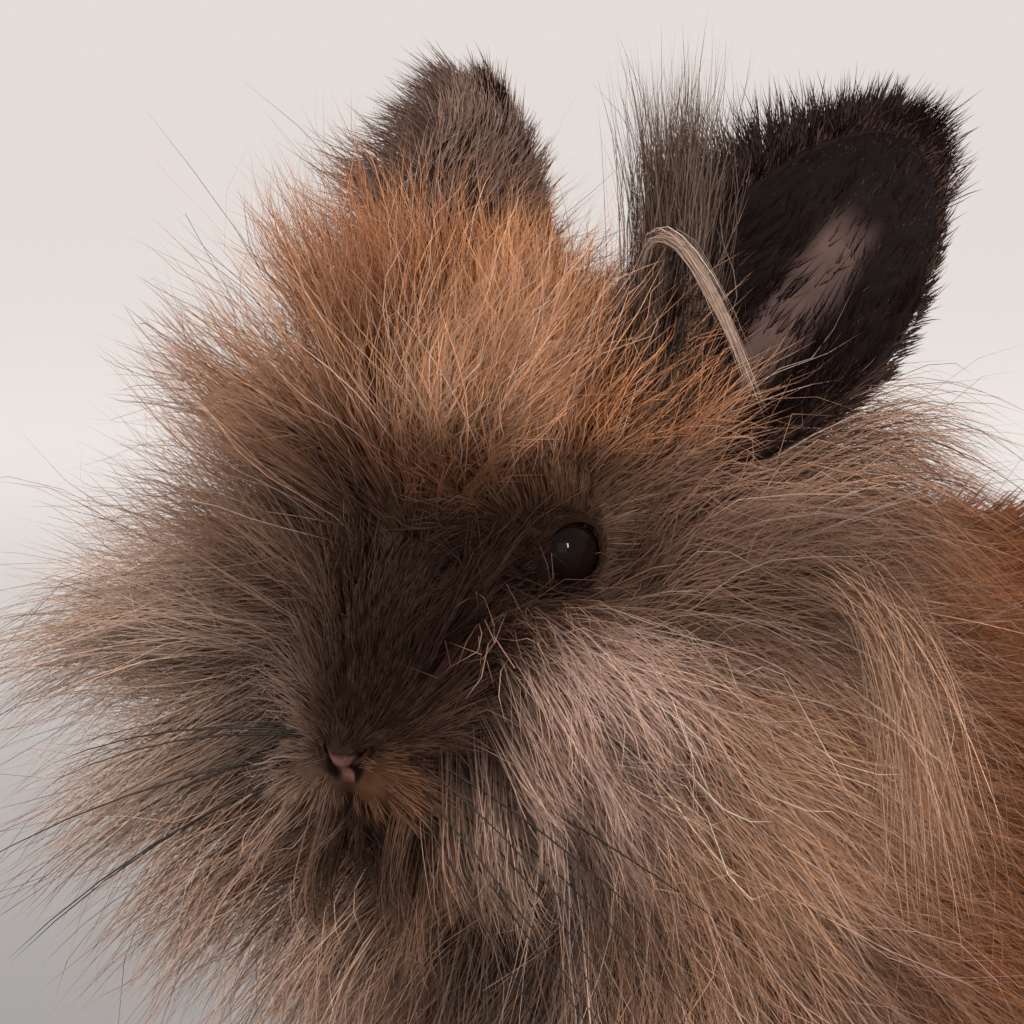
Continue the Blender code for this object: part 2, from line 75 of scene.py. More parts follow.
# The bare end of the nose, as an ellipsoid beside NOSE_AT
PAD_AT = (0, 0.0005, -0.0018)
PAD_SIZE = (0.0038, 0.0056, 0.0028)

# The camera: where it stands, how far off, its lens, and the nose's place in a 1024 pixel picture
CAMERA_AZIMUTH = math.radians(38)
CAMERA_ELEVATION = math.radians(5)
CAMERA_DISTANCE = 0.9
CAMERA_LENS = 184
CAMERA_SENSOR = 36
MM_A_PIXEL = 1 / 5.8
NOSE_PIXEL = (343, 757)
PICTURE_MIDDLE = 512

# The floor: half its width, the distances over which its painted shade fades, and its tone under that
# painted shade near the rabbit and its own pale tone further off
FLOOR_SIZE = 200
FLOOR_FADE = (-0.3, 2.6)
FLOOR_SHADE = (0.37, 0.37, 0.37)
FAR_FLOOR = (0.995, 0.99, 0.985)

# Rounded forms as (centre, radii, pitch in degrees), as in the solids. A form off the middle has a
# twin. The skin lies inside each group's forms by the depth of its coat.
HEAD_FORMS = (
    ((0, 0.016, 0.004), (0.024, 0.03, 0.0245), 0),
    ((0, -0.002, 0.008), (0.019, 0.018, 0.016), 0),
    ((0, -0.012, -0.015), (0.0135, 0.025, 0.015), 48),
    ((0.012, 0.004, -0.02), (0.0165, 0.021, 0.0215), 0),
    ((0, -0.008, -0.031), (0.017, 0.021, 0.0155), 30),
    ((0, -0.0185, -0.032), (0.0165, 0.0165, 0.0165), 0),
    ((0.0066, -0.0275, -0.0405), (0.008, 0.0085, 0.0075), 0),
    ((0, -0.022, -0.0495), (0.0085, 0.0095, 0.0058), 0),
    ((0, -0.0335, -0.035), (0.0056, 0.0046, 0.0042), 40),
    ((0.0172, -0.001, 0.0085), (0.0072, 0.0095, 0.005), 0),
    ((0.0165, -0.002, 0.0), (0.0095, 0.011, 0.0105), 0),
)
# The dense underwool that the mane stands on
HEAD_WOOL = (
    ((0.027, 0.018, -0.027), (0.024, 0.019, 0.031), 0),
    ((0, 0.01, 0.017), (0.025, 0.018, 0.021), 0),
    ((0, -0.004, -0.044), (0.021, 0.017, 0.015), 0),
)
BODY_FORMS = {
    "neck": (
        ((0, -0.062, 0.12), (0.036, 0.04, 0.04), 40),
        ((0, -0.056, 0.118), (0.045, 0.026, 0.042), 20),
    ),
    "torso": (
        ((0, -0.046, 0.084), (0.047, 0.045, 0.054), 0),
        ((0, 0.008, 0.084), (0.055, 0.062, 0.064), 0),
        ((0, 0.056, 0.085), (0.059, 0.06, 0.066), 0),
        ((0, 0.088, 0.066), (0.057, 0.048, 0.058), 0),
        ((0, 0.012, 0.036), (0.05, 0.085, 0.039), 0),
        ((0.026, -0.045, 0.072), (0.025, 0.034, 0.044), 0),
    ),
    "arm": (((0.027, -0.074, 0.046), (0.0145, 0.016, 0.036), 0),),
    "paw": (
        ((0.026, -0.086, 0.011), (0.011, 0.015, 0.011), 0),
        ((0.026, -0.076, 0.018), (0.011, 0.011, 0.014), 0),
    ),
    "thigh": (
        ((0.043, 0.068, 0.056), (0.031, 0.048, 0.044), 0),
        ((0.048, 0.04, 0.04), (0.023, 0.036, 0.029), 0),
    ),
    "foot": (
        ((0.05, 0.036, 0.0105), (0.0125, 0.044, 0.011), 0),
        ((0.05, 0.07, 0.016), (0.012, 0.017, 0.015), 0),
    ),
    "tail": (
        ((0, 0.138, 0.06), (0.02, 0.019, 0.026), -15),
        ((0, 0.145, 0.078), (0.016, 0.015, 0.019), -10),
    ),
}
# Toes as (group, first centre, step to the next, radii)
TOES = (
    ("paw", (0.0182, -0.097, 0.007), (0.0052, 0, 0), (0.0034, 0.0085, 0.0062)),
    ("foot", (0.041, -0.006, 0.0075), (0.006, 0, 0), (0.0041, 0.012, 0.0068)),
)
TOE_COUNT = 4
HEAD_DEPTH = 0.0009
WOOL_DEPTH = 0.007
GROUP_DEPTH = {
    "neck": 0.002, "torso": 0.007, "arm": 0.003, "paw": 0.0008,
    "thigh": 0.006, "foot": 0.001, "tail": 0.0065,
}
HEAD_VOXEL = 0.0008
BODY_VOXEL = 0.0014
# How often a round form's triangles are split
FINENESS = 4
FLOOR_LEVEL = 0.0003
CLEARANCE = 0.0006
# How far single hairs may stand out of the solids' box
REACH = 0.008

# Wool and fur colours, linear
GOLD_RUST = (0.345, 0.172, 0.092)
GOLD_BEIGE = (0.35, 0.205, 0.13)
CROWN_GOLD = (0.46, 0.21, 0.098)
RUST = (0.4, 0.165, 0.07)
DEEP_RUST = (0.095, 0.037, 0.017)
SOOTY_AND_SHADE = (0.015, 0.007, 0.0055)
SOOTY_BROWN = (0.055, 0.028, 0.019)
UMBER = (0.15, 0.088, 0.06)
TUFT_GREY = (0.13, 0.088, 0.068)
GREY_BROWN = (0.24, 0.138, 0.092)
GREY_BEIGE = (0.41, 0.29, 0.222)
PALE_PATCH = (0.5, 0.33, 0.258)
LIP_RUST = (0.14, 0.064, 0.032)
TAN = (0.43, 0.238, 0.142)
STREAK_TAN = (0.42, 0.25, 0.16)
NAPE_TAN = (0.36, 0.22, 0.15)
MANE_SHADE = (0.105, 0.06, 0.041)
CHEST_BEIGE = (0.34, 0.218, 0.155)
BODY_RUST = (0.185, 0.067, 0.026)
BELLY = (0.46, 0.34, 0.26)
EAR_SOOT = (0.012, 0.0065, 0.006)
EAR_FRINGE = {"left": 0.018, "right": 0.024}
EAR_EDGE = {"left": (0.042, 0.026, 0.021), "right": (0.085, 0.055, 0.044)}
EAR_BACK = {"left": (0.07, 0.042, 0.033), "right": (0.16, 0.105, 0.08)}
EAR_SKIN = (0.14, 0.086, 0.073)
NOSE_PINK = (0.21, 0.095, 0.082)
NOSE_DARK = (0.01, 0.006, 0.005)

# Markings on the head, among them the painted shadow in the mouth's gap, in its own frame: (centre, radii,
# colour, strength)
HEAD_ZONES = (
    ((0, -0.01, 0.036), (0.028, 0.02, 0.013), GOLD_RUST, 3.4),
    ((-0.006, 0.008, 0.053), (0.028, 0.022, 0.012), CROWN_GOLD, 3.0),
    ((-0.034, -0.004, 0.032), (0.018, 0.018, 0.012), GOLD_RUST, 2.4),
    ((-0.051, 0.002, 0.019), (0.014, 0.02, 0.01), GOLD_BEIGE, 2.4),
    ((0.002, -0.02, 0.015), (0.018, 0.014, 0.006), DEEP_RUST, 3.0),
    ((0.028, 0.01, 0.027), (0.016, 0.016, 0.009), RUST, 3.4),
    ((0, -0.022, -0.005), (0.016, 0.016, 0.013), SOOTY_AND_SHADE, 4.5),
    ((0.002, -0.032, -0.024), (0.012, 0.012, 0.011), SOOTY_AND_SHADE, 4.5),
    ((0.016, -0.02, -0.013), (0.01, 0.01, 0.009), SOOTY_AND_SHADE, 3.5),
    ((0.027, -0.018, -0.008), (0.008, 0.01, 0.007), SOOTY_BROWN, 2.5),
    ((0.023, -0.006, 0.0), (0.012, 0.01, 0.0095), SOOTY_AND_SHADE, 5.5),
    ((0.021, 0.006, 0.015), (0.012, 0.009, 0.004), SOOTY_BROWN, 2.6),
    ((0.036, 0.024, 0.013), (0.014, 0.014, 0.008), GREY_BROWN, 2.4),
    ((0.038, 0.008, 0.0), (0.012, 0.012, 0.006), GREY_BROWN, 2.2),
    ((-0.03, -0.01, -0.004), (0.026, 0.024, 0.01), UMBER, 3.0),
    ((-0.064, -0.01, -0.028), (0.02, 0.022, 0.013), GREY_BEIGE, 3.0),
    ((-0.05, -0.012, -0.052), (0.024, 0.022, 0.018), GREY_BEIGE, 3.0),
    ((-0.024, -0.02, -0.034), (0.014, 0.014, 0.014), TUFT_GREY, 2.0),
    ((0.036, -0.008, -0.037), (0.013, 0.014, 0.013), PALE_PATCH, 4.0),
    ((0.047, -0.018, -0.021), (0.012, 0.012, 0.008), PALE_PATCH, 3.4),
    ((0.026, -0.003, -0.052), (0.012, 0.014, 0.009), GREY_BEIGE, 2.8),
    ((0.018, -0.024, -0.031), (0.007, 0.008, 0.008), SOOTY_BROWN, 3.0),
    ((0.01, -0.033, -0.041), (0.007, 0.007, 0.005), LIP_RUST, 2.6),
    ((0.01, -0.016, -0.062), (0.01, 0.012, 0.008), GREY_BROWN, 2.6),
    # Painted shadow in the gap of the mouth, under the lips
    ((0.005, -0.028, -0.056), (0.007, 0.011, 0.008), SOOTY_AND_SHADE, 4.5),
    ((0.04, 0, -0.068), (0.016, 0.014, 0.012), UMBER, 2.4),
    ((0.018, 0, -0.076), (0.014, 0.014, 0.012), TUFT_GREY, 2.2),
    ((0.06, 0.004, -0.032), (0.014, 0.016, 0.013), GOLD_BEIGE, 2.4),
    ((0.071, 0.01, -0.002), (0.02, 0.018, 0.012), MANE_SHADE, 4.0),
    ((0.072, 0.032, -0.062), (0.026, 0.028, 0.028), TAN, 6.0),
    ((0.03, 0.06, 0.01), (0.05, 0.026, 0.018), GOLD_BEIGE, 2.0),
    ((-0.03, 0.05, -0.01), (0.03, 0.02, 0.03), GREY_BROWN, 2.0),
)
# Markings on the body
BODY_ZONES = (
    ((0, 0.03, 0.12), (0.07, 0.12, 0.06), BODY_RUST, 1.5),
    ((0, -0.08, 0.08), (0.05, 0.03, 0.05), CHEST_BEIGE, 3.0),
    ((0, -0.03, 0.13), (0.06, 0.028, 0.04), GREY_BROWN, 1.6),
    ((0, 0.02, 0.0), (0.07, 0.11, 0.034), BELLY, 1.8),
    ((0, -0.09, 0.0), (0.06, 0.03, 0.022), UMBER, 1.6),
    ((0, 0.02, 0.0), (0.09, 0.09, 0.012), UMBER, 0.8),
    ((0, 0.158, 0.07), (0.02, 0.016, 0.03), UMBER, 1.6),
    ((0, 0.124, 0.052), (0.02, 0.01, 0.026), BELLY, 2.0),
)

scene = bpy.context.scene
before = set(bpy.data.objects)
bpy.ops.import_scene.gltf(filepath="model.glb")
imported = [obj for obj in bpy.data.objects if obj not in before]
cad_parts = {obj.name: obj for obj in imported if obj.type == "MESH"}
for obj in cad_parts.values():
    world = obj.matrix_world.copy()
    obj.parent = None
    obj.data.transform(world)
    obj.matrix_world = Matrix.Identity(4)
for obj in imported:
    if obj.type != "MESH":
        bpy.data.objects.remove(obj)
cad_box = [list(corner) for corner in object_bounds()]


def head_place():
    """The matrix from the head's frame to the row's."""
    turned = Matrix.Rotation(HEAD_TURN, 4, "Z")
    tilted = Matrix.Rotation(HEAD_TILT, 4, "Y")
    return Matrix.Translation(HEAD_AT) @ turned @ tilted


HEAD = np.array(head_place())
HEAD_ROWS = HEAD[:3, :3]
HEAD_ORIGIN = HEAD[:3, 3]


def to_head(points):
    """Points of the row in the head's frame."""
    return (points - HEAD_ORIGIN) @ HEAD_ROWS


def unit(vectors):
    """Vectors of length one."""
    return vectors / np.maximum(np.linalg.norm(vectors, axis=-1, keepdims=True), 1e-12)


def smooth(low, high, value):
    """0 below low, 1 above high and an even curve between. low may be the larger."""
    share = np.clip((value - low) / (high - low), 0, 1)
    return share * share * (3 - 2 * share)


def swirl(points, scale, seed):
    """A smooth field of vectors that varies over about the given distance."""
    rng = np.random.default_rng(seed)
    total = np.zeros_like(points)
    for _ in range(6):
        wave = rng.normal(size=3) * (2 * math.pi / scale) * 0.5
        total += np.sin(points @ wave + rng.uniform(0, 6.28))[:, None] * rng.normal(size=3)
    return total / 2.4


def mesh_object(name, mesh):
    """A new object in the scene."""
    made = bpy.data.objects.new(name, mesh)
    scene.collection.objects.link(made)
    return made


def from_bmesh(name, bm):
    """A new object from a bmesh, which is freed."""
    mesh = bpy.data.meshes.new(name)
    bm.to_mesh(mesh)
    bm.free()
    return mesh_object(name, mesh)


def apply_modifiers(obj):
    """Replaces an object's mesh by what its modifiers make of it."""
    bpy.context.view_layer.update()
    graph = bpy.context.evaluated_depsgraph_get()
    mesh = bpy.data.meshes.new_from_object(obj.evaluated_get(graph))
    obj.modifiers.clear()
    obj.data = mesh


def all_body_forms():
    """Every form of the body with its group, twins and toes among them."""
    found = []
    for group, forms in BODY_FORMS.items():
        found += [(group, centre, radii, pitch) for centre, radii, pitch in forms]
    for group, first, step, radii in TOES:
        for toe in range(TOE_COUNT):
            centre = tuple(np.array(first) + toe * np.array(step))
            found.append((group, centre, radii, 0))
    twins = [(g, (-c[0], *c[1:]), r, p) for g, c, r, p in found if c[0]]
    return found + twins


def skin_of(name, forms, voxel, smoothing, place=None):
    """Melts forms of (centre, radii, pitch) into one closed surface."""
    bm = bmesh.new()
    for centre, radii, pitch in forms:
        spot = Matrix.Translation(centre) @ Matrix.Rotation(math.radians(pitch), 4, "X")
        shape = Matrix.Diagonal((*radii, 1))
        bmesh.ops.create_icosphere(bm, subdivisions=FINENESS, radius=1, matrix=spot @ shape)
    if place is not None:
        bm.transform(place)
    made = from_bmesh(name, bm)
    remesh = made.modifiers.new("melt", "REMESH")
    remesh.mode = "VOXEL"
    remesh.voxel_size = voxel
    even = made.modifiers.new("even", "SMOOTH")
    even.factor = 0.5
    even.iterations = smoothing
    apply_modifiers(made)
    return made


def surface(obj):
    """An object's corners, normals and triangles as arrays."""
    mesh = obj.data
    mesh.calc_loop_triangles()
    points = np.empty(len(mesh.vertices) * 3)
    mesh.vertices.foreach_get("co", points)
    normals = np.empty(len(mesh.vertices) * 3)
    mesh.vertices.foreach_get("normal", normals)
    corners = np.empty(len(mesh.loop_triangles) * 3, np.int32)
    mesh.loop_triangles.foreach_get("vertices", corners)
    return points.reshape(-1, 3), normals.reshape(-1, 3), corners.reshape(-1, 3)


def scatter(skin, count, density, rng):
    """Random places on a surface, as points and normals, thicker where density is larger."""
    points, normals, corners = skin
    a, b, c = (points[corners[:, i]] for i in range(3))
    middle = (a + b + c) / 3
    facing = unit(normals[corners].sum(1))
    weight = np.linalg.norm(np.cross(b - a, c - a), axis=1) * density(middle, facing)
    total = np.cumsum(weight)
    pick = np.searchsorted(total, rng.uniform(0, total[-1], count))
    share = rng.uniform(size=(count, 2))
    over = share.sum(1) > 1
    share[over] = 1 - share[over]
    w = np.c_[1 - share.sum(1), share][:, :, None]
    return (points[corners[pick]] * w).sum(1), unit((normals[corners[pick]] * w).sum(1))


def head_shapes():
    """Every form of the head's skin, twins among them, at its skin size."""
    shapes = [(c, np.array(r) - HEAD_DEPTH, p) for c, r, p in mirrored(HEAD_FORMS)]
    return shapes + [(c, np.array(r) - WOOL_DEPTH, p) for c, r, p in mirrored(HEAD_WOOL)]


def pitched(pitch):
    """The rotation of a form that is pitched by some degrees."""
    return np.array(Matrix.Rotation(math.radians(pitch), 3, "X"))


def form_arrays():
    """Centres, radii and rotations of all skin forms, for keeping hair out of them."""
    centres, radii, turns = [], [], []
    for group, centre, size, pitch in all_body_forms():
        centres.append(np.array(centre))
        radii.append(np.array(size) - GROUP_DEPTH[group])
        turns.append(pitched(pitch))
    for centre, size, pitch in head_shapes():
        centres.append(HEAD_ROWS @ np.array(centre) + HEAD_ORIGIN)
        radii.append(size)
        turns.append(HEAD_ROWS @ pitched(pitch))
    return list(zip(centres, radii, turns))


def mirrored(forms):
    """Forms with the twin of each that is off the middle."""
    return list(forms) + [((-c[0], *c[1:]), r, p) for c, r, p in forms if c[0]]


def keep_out(points, forms):
    """Moves points that are inside a form of the skin to just above it."""
    for centre, radii, turn in forms:
        local = (points - centre) @ turn
        reach = np.linalg.norm(local / (radii + CLEARANCE), axis=1)
        inside = reach < 1
        if inside.any():
            pushed = local[inside] / np.maximum(reach[inside, None], 0.2)
            points[inside] = pushed @ turn.T + centre
    points[:, 2] = np.maximum(points[:, 2], FLOOR_LEVEL)
    return points


def zone_mix(points, zones, base):
    """The colours of soft-edged zones at points, over a base colour."""
    weight = np.full(len(points), 0.25)
    total = np.outer(weight, base)
    for centre, radii, colour, strength in zones:
        reach = (((points - np.array(centre)) / np.array(radii)) ** 2).sum(1)
        share = strength * np.exp(-reach)
        weight += share
        total += np.outer(share, colour)
    return total / weight[:, None]


def markings(points):
    """The coat's colour at places on the skin, with the painted shadow of the mouth's gap, the same for
    the skin and for what grows there.
    """
    place = to_head(points)
    on_head = smooth(0.104, 0.078, np.linalg.norm(place - np.array(HEAD_CENTRE), axis=1))
    head = zone_mix(place, HEAD_ZONES, GREY_BROWN)
    body = zone_mix(points, BODY_ZONES, BODY_RUST)
    return head * on_head[:, None] + body * (1 - on_head[:, None])


# Coats


def to_side(vector, x):
    """A vector of a paired feature in the head's frame, for the side that each x is on."""
    return np.array(vector) * np.c_[np.sign(x), np.ones((len(x), 2))]


def mirror_distance(place, centre):
    """Distances from places in the head's frame to a paired feature."""
    return np.linalg.norm(place - to_side(centre, place[:, 0]), axis=1)


def wool_share(place):
    """0 where the head's fur is short, on the bridge and round the eyes, and 1 in the long wool."""
    x, y, z = place.T
    from_nose = np.linalg.norm(place - np.array(NOSE_AT), axis=1)
    from_eye = mirror_distance(place, EYE_AT) + 0.006 * (x < 0)
    bridge = smooth(0.015, 0.006, abs(x)) * smooth(0.014, 0.002, z) * smooth(0.006, -0.006, y)
    bridge *= smooth(-0.04, -0.035, z)
    return smooth(0.004, 0.026, from_nose) * smooth(0.009, 0.019, from_eye) * (1 - bridge)


def head_plan(root, normal):
    """How the coat grows at places on the head."""
    place = to_head(root)
    x, y, z = place.T
    facing = normal @ HEAD_ROWS
    wool = wool_share(place)
    crown = smooth(0.0, 0.018, z)
    front = smooth(0.2, 0.85, -facing[:, 1])
    chin = smooth(-0.034, -0.046, z) * smooth(0.024, 0.012, abs(x))
    nape = smooth(0.024, 0.036, y)
    length = 0.05 * (1 - crown) + (0.03 + 0.017 * smooth(0, -0.018, x)) * crown
    length = length * (1 - chin) + 0.027 * chin
    length = length * (1 - nape) + 0.046 * nape
    length = 0.0042 + wool * (length - 0.0042)
    lift = 0.28 + wool * (0.38 + 0.26 * crown - 0.22 * crown * front) * (1 - 0.4 * chin)
    hang = 0.35 + 0.5 * smooth(-0.005, 0.01, x)
    droop = wool * hang * (1 - crown) * (1 - 0.3 * chin)
    lie = place - np.array(NOSE_AT)
    lie[:, 2] += 0.02 * crown
    from_eye = mirror_distance(place, EYE_AT)
    part = (smooth(0.022, 0.012, from_eye) * np.where(x > 0, 1.0, 0.35))[:, None]
    away = place - to_side(EYE_AT, x)
    right = smooth(-0.005, -0.022, x) * wool
    lie = unit(lie) + np.outer(right, (-0.75, -0.6, -0.1)) * (1 - nape)[:, None]
    lie = unit(lie) * (1 - 0.8 * part) + unit(away) * 0.8 * part
    back = np.c_[x * 20, np.full(len(x), 1.0), np.full(len(x), -0.35)]
    lie = lie * (1 - nape[:, None]) + back * nape[:, None]
    return {
        "length": length,
        "lift": lift * (1 - nape) + 0.6 * nape,
        "droop": droop * (1 - nape) + 0.45 * nape,
        "lie": lie @ HEAD_ROWS.T,
        "wool": wool,
    }


GROUP_COATS = {
    # group: (length, lift, droop, lie)
    "neck": (0.046, 0.6, 0.6, None),
    "torso": (0.019, 0.36, 0.15, (0, 1.0, -0.1)),
    "arm": (0.012, 0.3, 0.1, (0, -0.1, -1.0)),
    "paw": (0.0042, 0.22, 0.0, (0, -1.0, -0.35)),
    "thigh": (0.016, 0.32, 0.15, (0, 0.6, -0.7)),
    "foot": (0.0048, 0.22, 0.0, (0, -1.0, -0.2)),
    "tail": (0.02, 0.75, 0.0, (0, 0.5, 1.0)),
}


def group_of(points):
    """The index in GROUP_COATS of the group whose form each point is nearest."""
    names = list(GROUP_COATS)
    best = np.full(len(points), np.inf)
    found = np.zeros(len(points), int)
    for group, centre, size, pitch in all_body_forms():
        radii = np.array(size) - GROUP_DEPTH[group]
        reach = np.linalg.norm((points - np.array(centre)) @ pitched(pitch) / radii, axis=1)
        nearer = reach < best
        best[nearer] = reach[nearer]
        found[nearer] = names.index(group)
    return found


def body_plan(root, normal):
    """How the coat grows at places on the body."""
    group = group_of(root)
    table = list(GROUP_COATS.values())
    length, lift, droop = (np.array([row[i] for row in table])[group] for i in range(3))
    ways = np.array([row[3] or (0, 0, 0) for row in table], float)
    lie = ways[group]
    trunk = (group == 0) | (group == 1)
    x, y, z = root.T
    lie[:, 2] -= np.where(group == 1, 22 * abs(x) * (y < 0.14), 0)
    lie[:, 0] += np.where(group == 1, 6 * x, 0)
    mane = smooth(0.022, -0.025, y) * smooth(0.05, 0.085, z) * trunk
    ahead = smooth(-0.05, -0.085, y) * smooth(0.02, -0.03, x)
    ruff = np.c_[x * (1 + 0.8 * ahead), 0.045 - 0.085 * ahead, 0.4 * (z - 0.12) - 0.02] * 20
    chest = smooth(-0.062, -0.08, y) * smooth(0.125, 0.1, z)
    bib = np.c_[x * 10, np.full(len(x), -0.1), np.full(len(x), -1.0)]
    lie = lie * (1 - mane[:, None]) + ruff * mane[:, None]
    lie = lie * (1 - (chest * mane)[:, None]) + bib * (chest * mane)[:, None]
    length = length * (1 - mane) + (0.05 + 0.008 * np.maximum(chest, ahead)) * mane
    lift = lift * (1 - mane) + (0.68 + 0.16 * np.maximum(chest, ahead)) * mane
    droop = droop * (1 - mane) + (0.55 - 0.3 * ahead) * mane
    return {"length": length, "lift": lift, "droop": droop, "lie": lie, "wool": mane}


def guides(root, normal, plan, steps, bend_seed, forms):
    """The middle line of each tuft: it leaves the skin along its lie and bends down to its tip."""
    lie = plan["lie"] - normal * (plan["lie"] * normal).sum(1, keepdims=True)
    ahead = unit(lie)
    wander = swirl(root, 0.016, bend_seed) * (0.1 + 0.28 * plan["wool"])[:, None]
    point = root - normal * 0.0008
    line = [point]
    for step in range(steps):
        share = (step + 0.5) / steps
        rise = (plan["lift"] * (1 - 0.55 * share))[:, None]
        heading = ahead * np.cos(rise) + normal * np.sin(rise)
        heading = heading + wander * (0.4 + share)
        heading[:, 2] -= plan["droop"] * share
        point = point + unit(heading) * (plan["length"] / steps)[:, None]
        point = keep_out(point, forms)
        line.append(point)
    return np.stack(line, 1), ahead


# Hair longer than this keeps out of a cone in front of each eye, given by how far ahead of the eye's
# centre it starts, how wide it is there and how fast it widens
LONG_HAIR = 0.009
CONE_FROM, CONE_START, CONE_SLOPE = 0.006, 0.0046, 0.12


def in_view_of_eye(line):
    """Which lines pass close in front of an eye, seen from its side or from the front."""
    hit = np.zeros(len(line), bool)
    long = np.linalg.norm(line[:, -1] - line[:, 0], axis=1) > LONG_HAIR
    for side in SIDES.values():
        mirror = np.array((side, 1, 1))
        centre = HEAD_ROWS @ (np.array(EYE_AT) * mirror) + HEAD_ORIGIN
        for gaze in (EYE_GAZE, EYE_FRONT):
            ahead = HEAD_ROWS @ (np.array(gaze) * mirror)
            away = line - centre
            along = away @ ahead
            beside = np.linalg.norm(away - along[..., None] * ahead, axis=-1)
            cone = CONE_START + CONE_SLOPE * np.maximum(along, 0)
            over = ((along > CONE_FROM) & (beside < cone)).any(1)
            hit |= over & ((long & (side > 0)) | (gaze is EYE_GAZE))
    return hit


def strands(line, normal, ahead, colour_at, spec, rng):
    """Splits each guide into fine hairs that draw together towards its tip.

    Returns their paths, normals, widths, colours and roots.
    """
    per = spec["per"]
    count, knots = len(line) * per, line.shape[1]
    of = np.repeat(np.arange(len(line)), per)
    share = np.linspace(0, 1, knots)
    across = np.cross(normal, ahead)
    turn = rng.uniform(0, 2 * math.pi, count)
    spread = np.sqrt(rng.uniform(size=count)) * spec["radius"]
    aside = across[of] * (np.cos(turn) * spread)[:, None]
    aside += ahead[of] * (np.sin(turn) * spread)[:, None]
    clump = rng.normal(spec["clump"], spec["loose"], (count, 1))
    hold = 1 - clump * share[None] ** 0.8
    scale = rng.uniform(spec["shortest"], 1.06, count)
    path = line[of, :1] + (line[of] - line[of, :1]) * scale[:, None, None]
    path = path + aside[:, None] * hold[:, :, None]
    reach = np.linalg.norm(line[:, -1] - line[:, 0], axis=1)[of]
    stray = np.clip(rng.normal(0, 1, (count, 3)), -1.9, 1.9) * spec["stray"] * reach[:, None]
    path = path + stray[:, None] * (share ** 1.5)[None, :, None]
    for direction in (across, normal):
        phase = rng.uniform(0, 2 * math.pi, (count, 1))
        rate = rng.uniform(0.6, 1.4, (count, 1)) * spec["waves"]
        amount = rng.normal(0, spec["frizz"], (count, 1)) * reach[:, None]
        wave = (np.sin(share * rate * 2 * math.pi + phase) - np.sin(phase)) * share * amount
        path = path + direction[of][:, None] * wave[:, :, None]
    path[..., 2] = np.maximum(path[..., 2], FLOOR_LEVEL)
    width = spec["width"] * rng.uniform(0.7, 1.2, count)
    tone = rng.normal(0, spec["tone"], (len(line), 1))[of] + rng.normal(0, 0.1, (count, 1))
    # Each hair is darker at its root and lighter at its tip: painted shade deep in the coat and painted
    # light at its ends
    dark, light = spec["shade"]
    ramp = dark + (light - dark) * share ** 0.8
    colour = colour_at(path.reshape(-1, 3)).reshape(path.shape)
    colour = colour * (ramp[None, :, None] * np.exp(tone)[:, :, None])
    pale = rng.uniform(size=count) < spec["pale"]
    grey = colour.mean(2, keepdims=True)
    colour = np.where(pale[:, None, None], 0.6 * colour + 0.4 * grey * 1.5, colour)
    low, high = np.array(cad_box[0]) - REACH, np.array(cad_box[1]) + REACH
    near = ((path > low) & (path < high)).all((1, 2))
    return path[near], normal[of][near], width[near], colour[near], line[of, 0][near]


def globe_map(points, centre):
    """An unwrap round a middle point, like a map of the globe, stretched to fill the square."""
    away = unit(points - centre)
    spread = np.c_[np.arctan2(away[:, 0], -away[:, 1]), away[:, 2]]
    low, high = spread.min(0), spread.max(0)
    return 0.004 + 0.992 * (spread - low) / np.maximum(high - low, 1e-6)


# The width of a hair's patch on the map, and how much of its own facing a hair keeps beside the
# skin's
PATCH = 0.003
OWN_FACING = 0.55


def ribbons(name, made, middle, rng, material):
    """One mesh of all the hairs: each is a flat, tapered ribbon of a few faces."""
    path, normal, width, colour, root = made
    count, knots = path.shape[:2]
    along = unit(np.gradient(path, axis=1))
    flat = unit(np.cross(along, normal[:, None]))
    raised = np.cross(flat, along)
    roll = rng.uniform(-0.9, 0.9, count)[:, None, None]
    edge = flat * np.cos(roll) + raised * np.sin(roll)
    share = np.linspace(0, 1, knots)[:-1]
    taper = (0.75 + 0.5 * share) * (1 - share ** 2.2 * 0.75)
    half = edge[:, :-1] * (width[:, None] * taper)[:, :, None] / 2
    pairs = np.stack([path[:, :-1] - half, path[:, :-1] + half], 2).reshape(count, -1, 3)
    points = np.concatenate([pairs, path[:, -1:]], 1)
    each = 2 * (knots - 1) + 1

    quads = knots - 2
    start = np.arange(quads) * 2
    face = np.stack([start, start + 1, start + 3, start + 2], 1).reshape(-1)
    face = np.concatenate([face, [each - 3, each - 2, each - 1]])
    loops = (face[None] + np.arange(count)[:, None] * each).reshape(-1)
    sizes = np.tile(np.array([4] * quads + [3]), count)
    starts = np.concatenate([[0], np.cumsum(sizes)[:-1]])

    mesh = bpy.data.meshes.new(name)
    mesh.vertices.add(count * each)
    mesh.vertices.foreach_set("co", points.reshape(-1))
    mesh.loops.add(len(loops))
    mesh.loops.foreach_set("vertex_index", loops)
    mesh.polygons.add(len(sizes))
    mesh.polygons.foreach_set("loop_start", starts)
    mesh.polygons.foreach_set("use_smooth", np.ones(len(sizes), bool))
    mesh.update(calc_edges=True)

    facing = unit(OWN_FACING * np.cross(edge, along) + normal[:, None])
    facing = np.concatenate([np.repeat(facing[:, :-1], 2, axis=1), facing[:, -1:]], 1)
    mesh.normals_split_custom_set_from_vertices(facing.reshape(-1, 3))
    tint = np.repeat(colour[:, :-1], 2, axis=1)
    tint = np.concatenate([tint, colour[:, -1:]], 1).reshape(-1, 3)
    paint(mesh, tint)
    corner = np.zeros((each, 2))
    corner[:-1, 0] = np.repeat(share, 2)
    corner[-1, 0] = 1
    corner[0::2, 1] = 0.5
    corner[1::2, 1] = 1
    corner[-1, 1] = 0.75
    spot = globe_map(root, middle)[:, None] + (corner[None] - 0.5) * PATCH
    uv = mesh.uv_layers.new(name="OFBake")
    uv.data.foreach_set("uv", spot.reshape(-1, 2)[loops].reshape(-1))
    mesh.materials.append(material)
    return mesh_object(name, mesh)


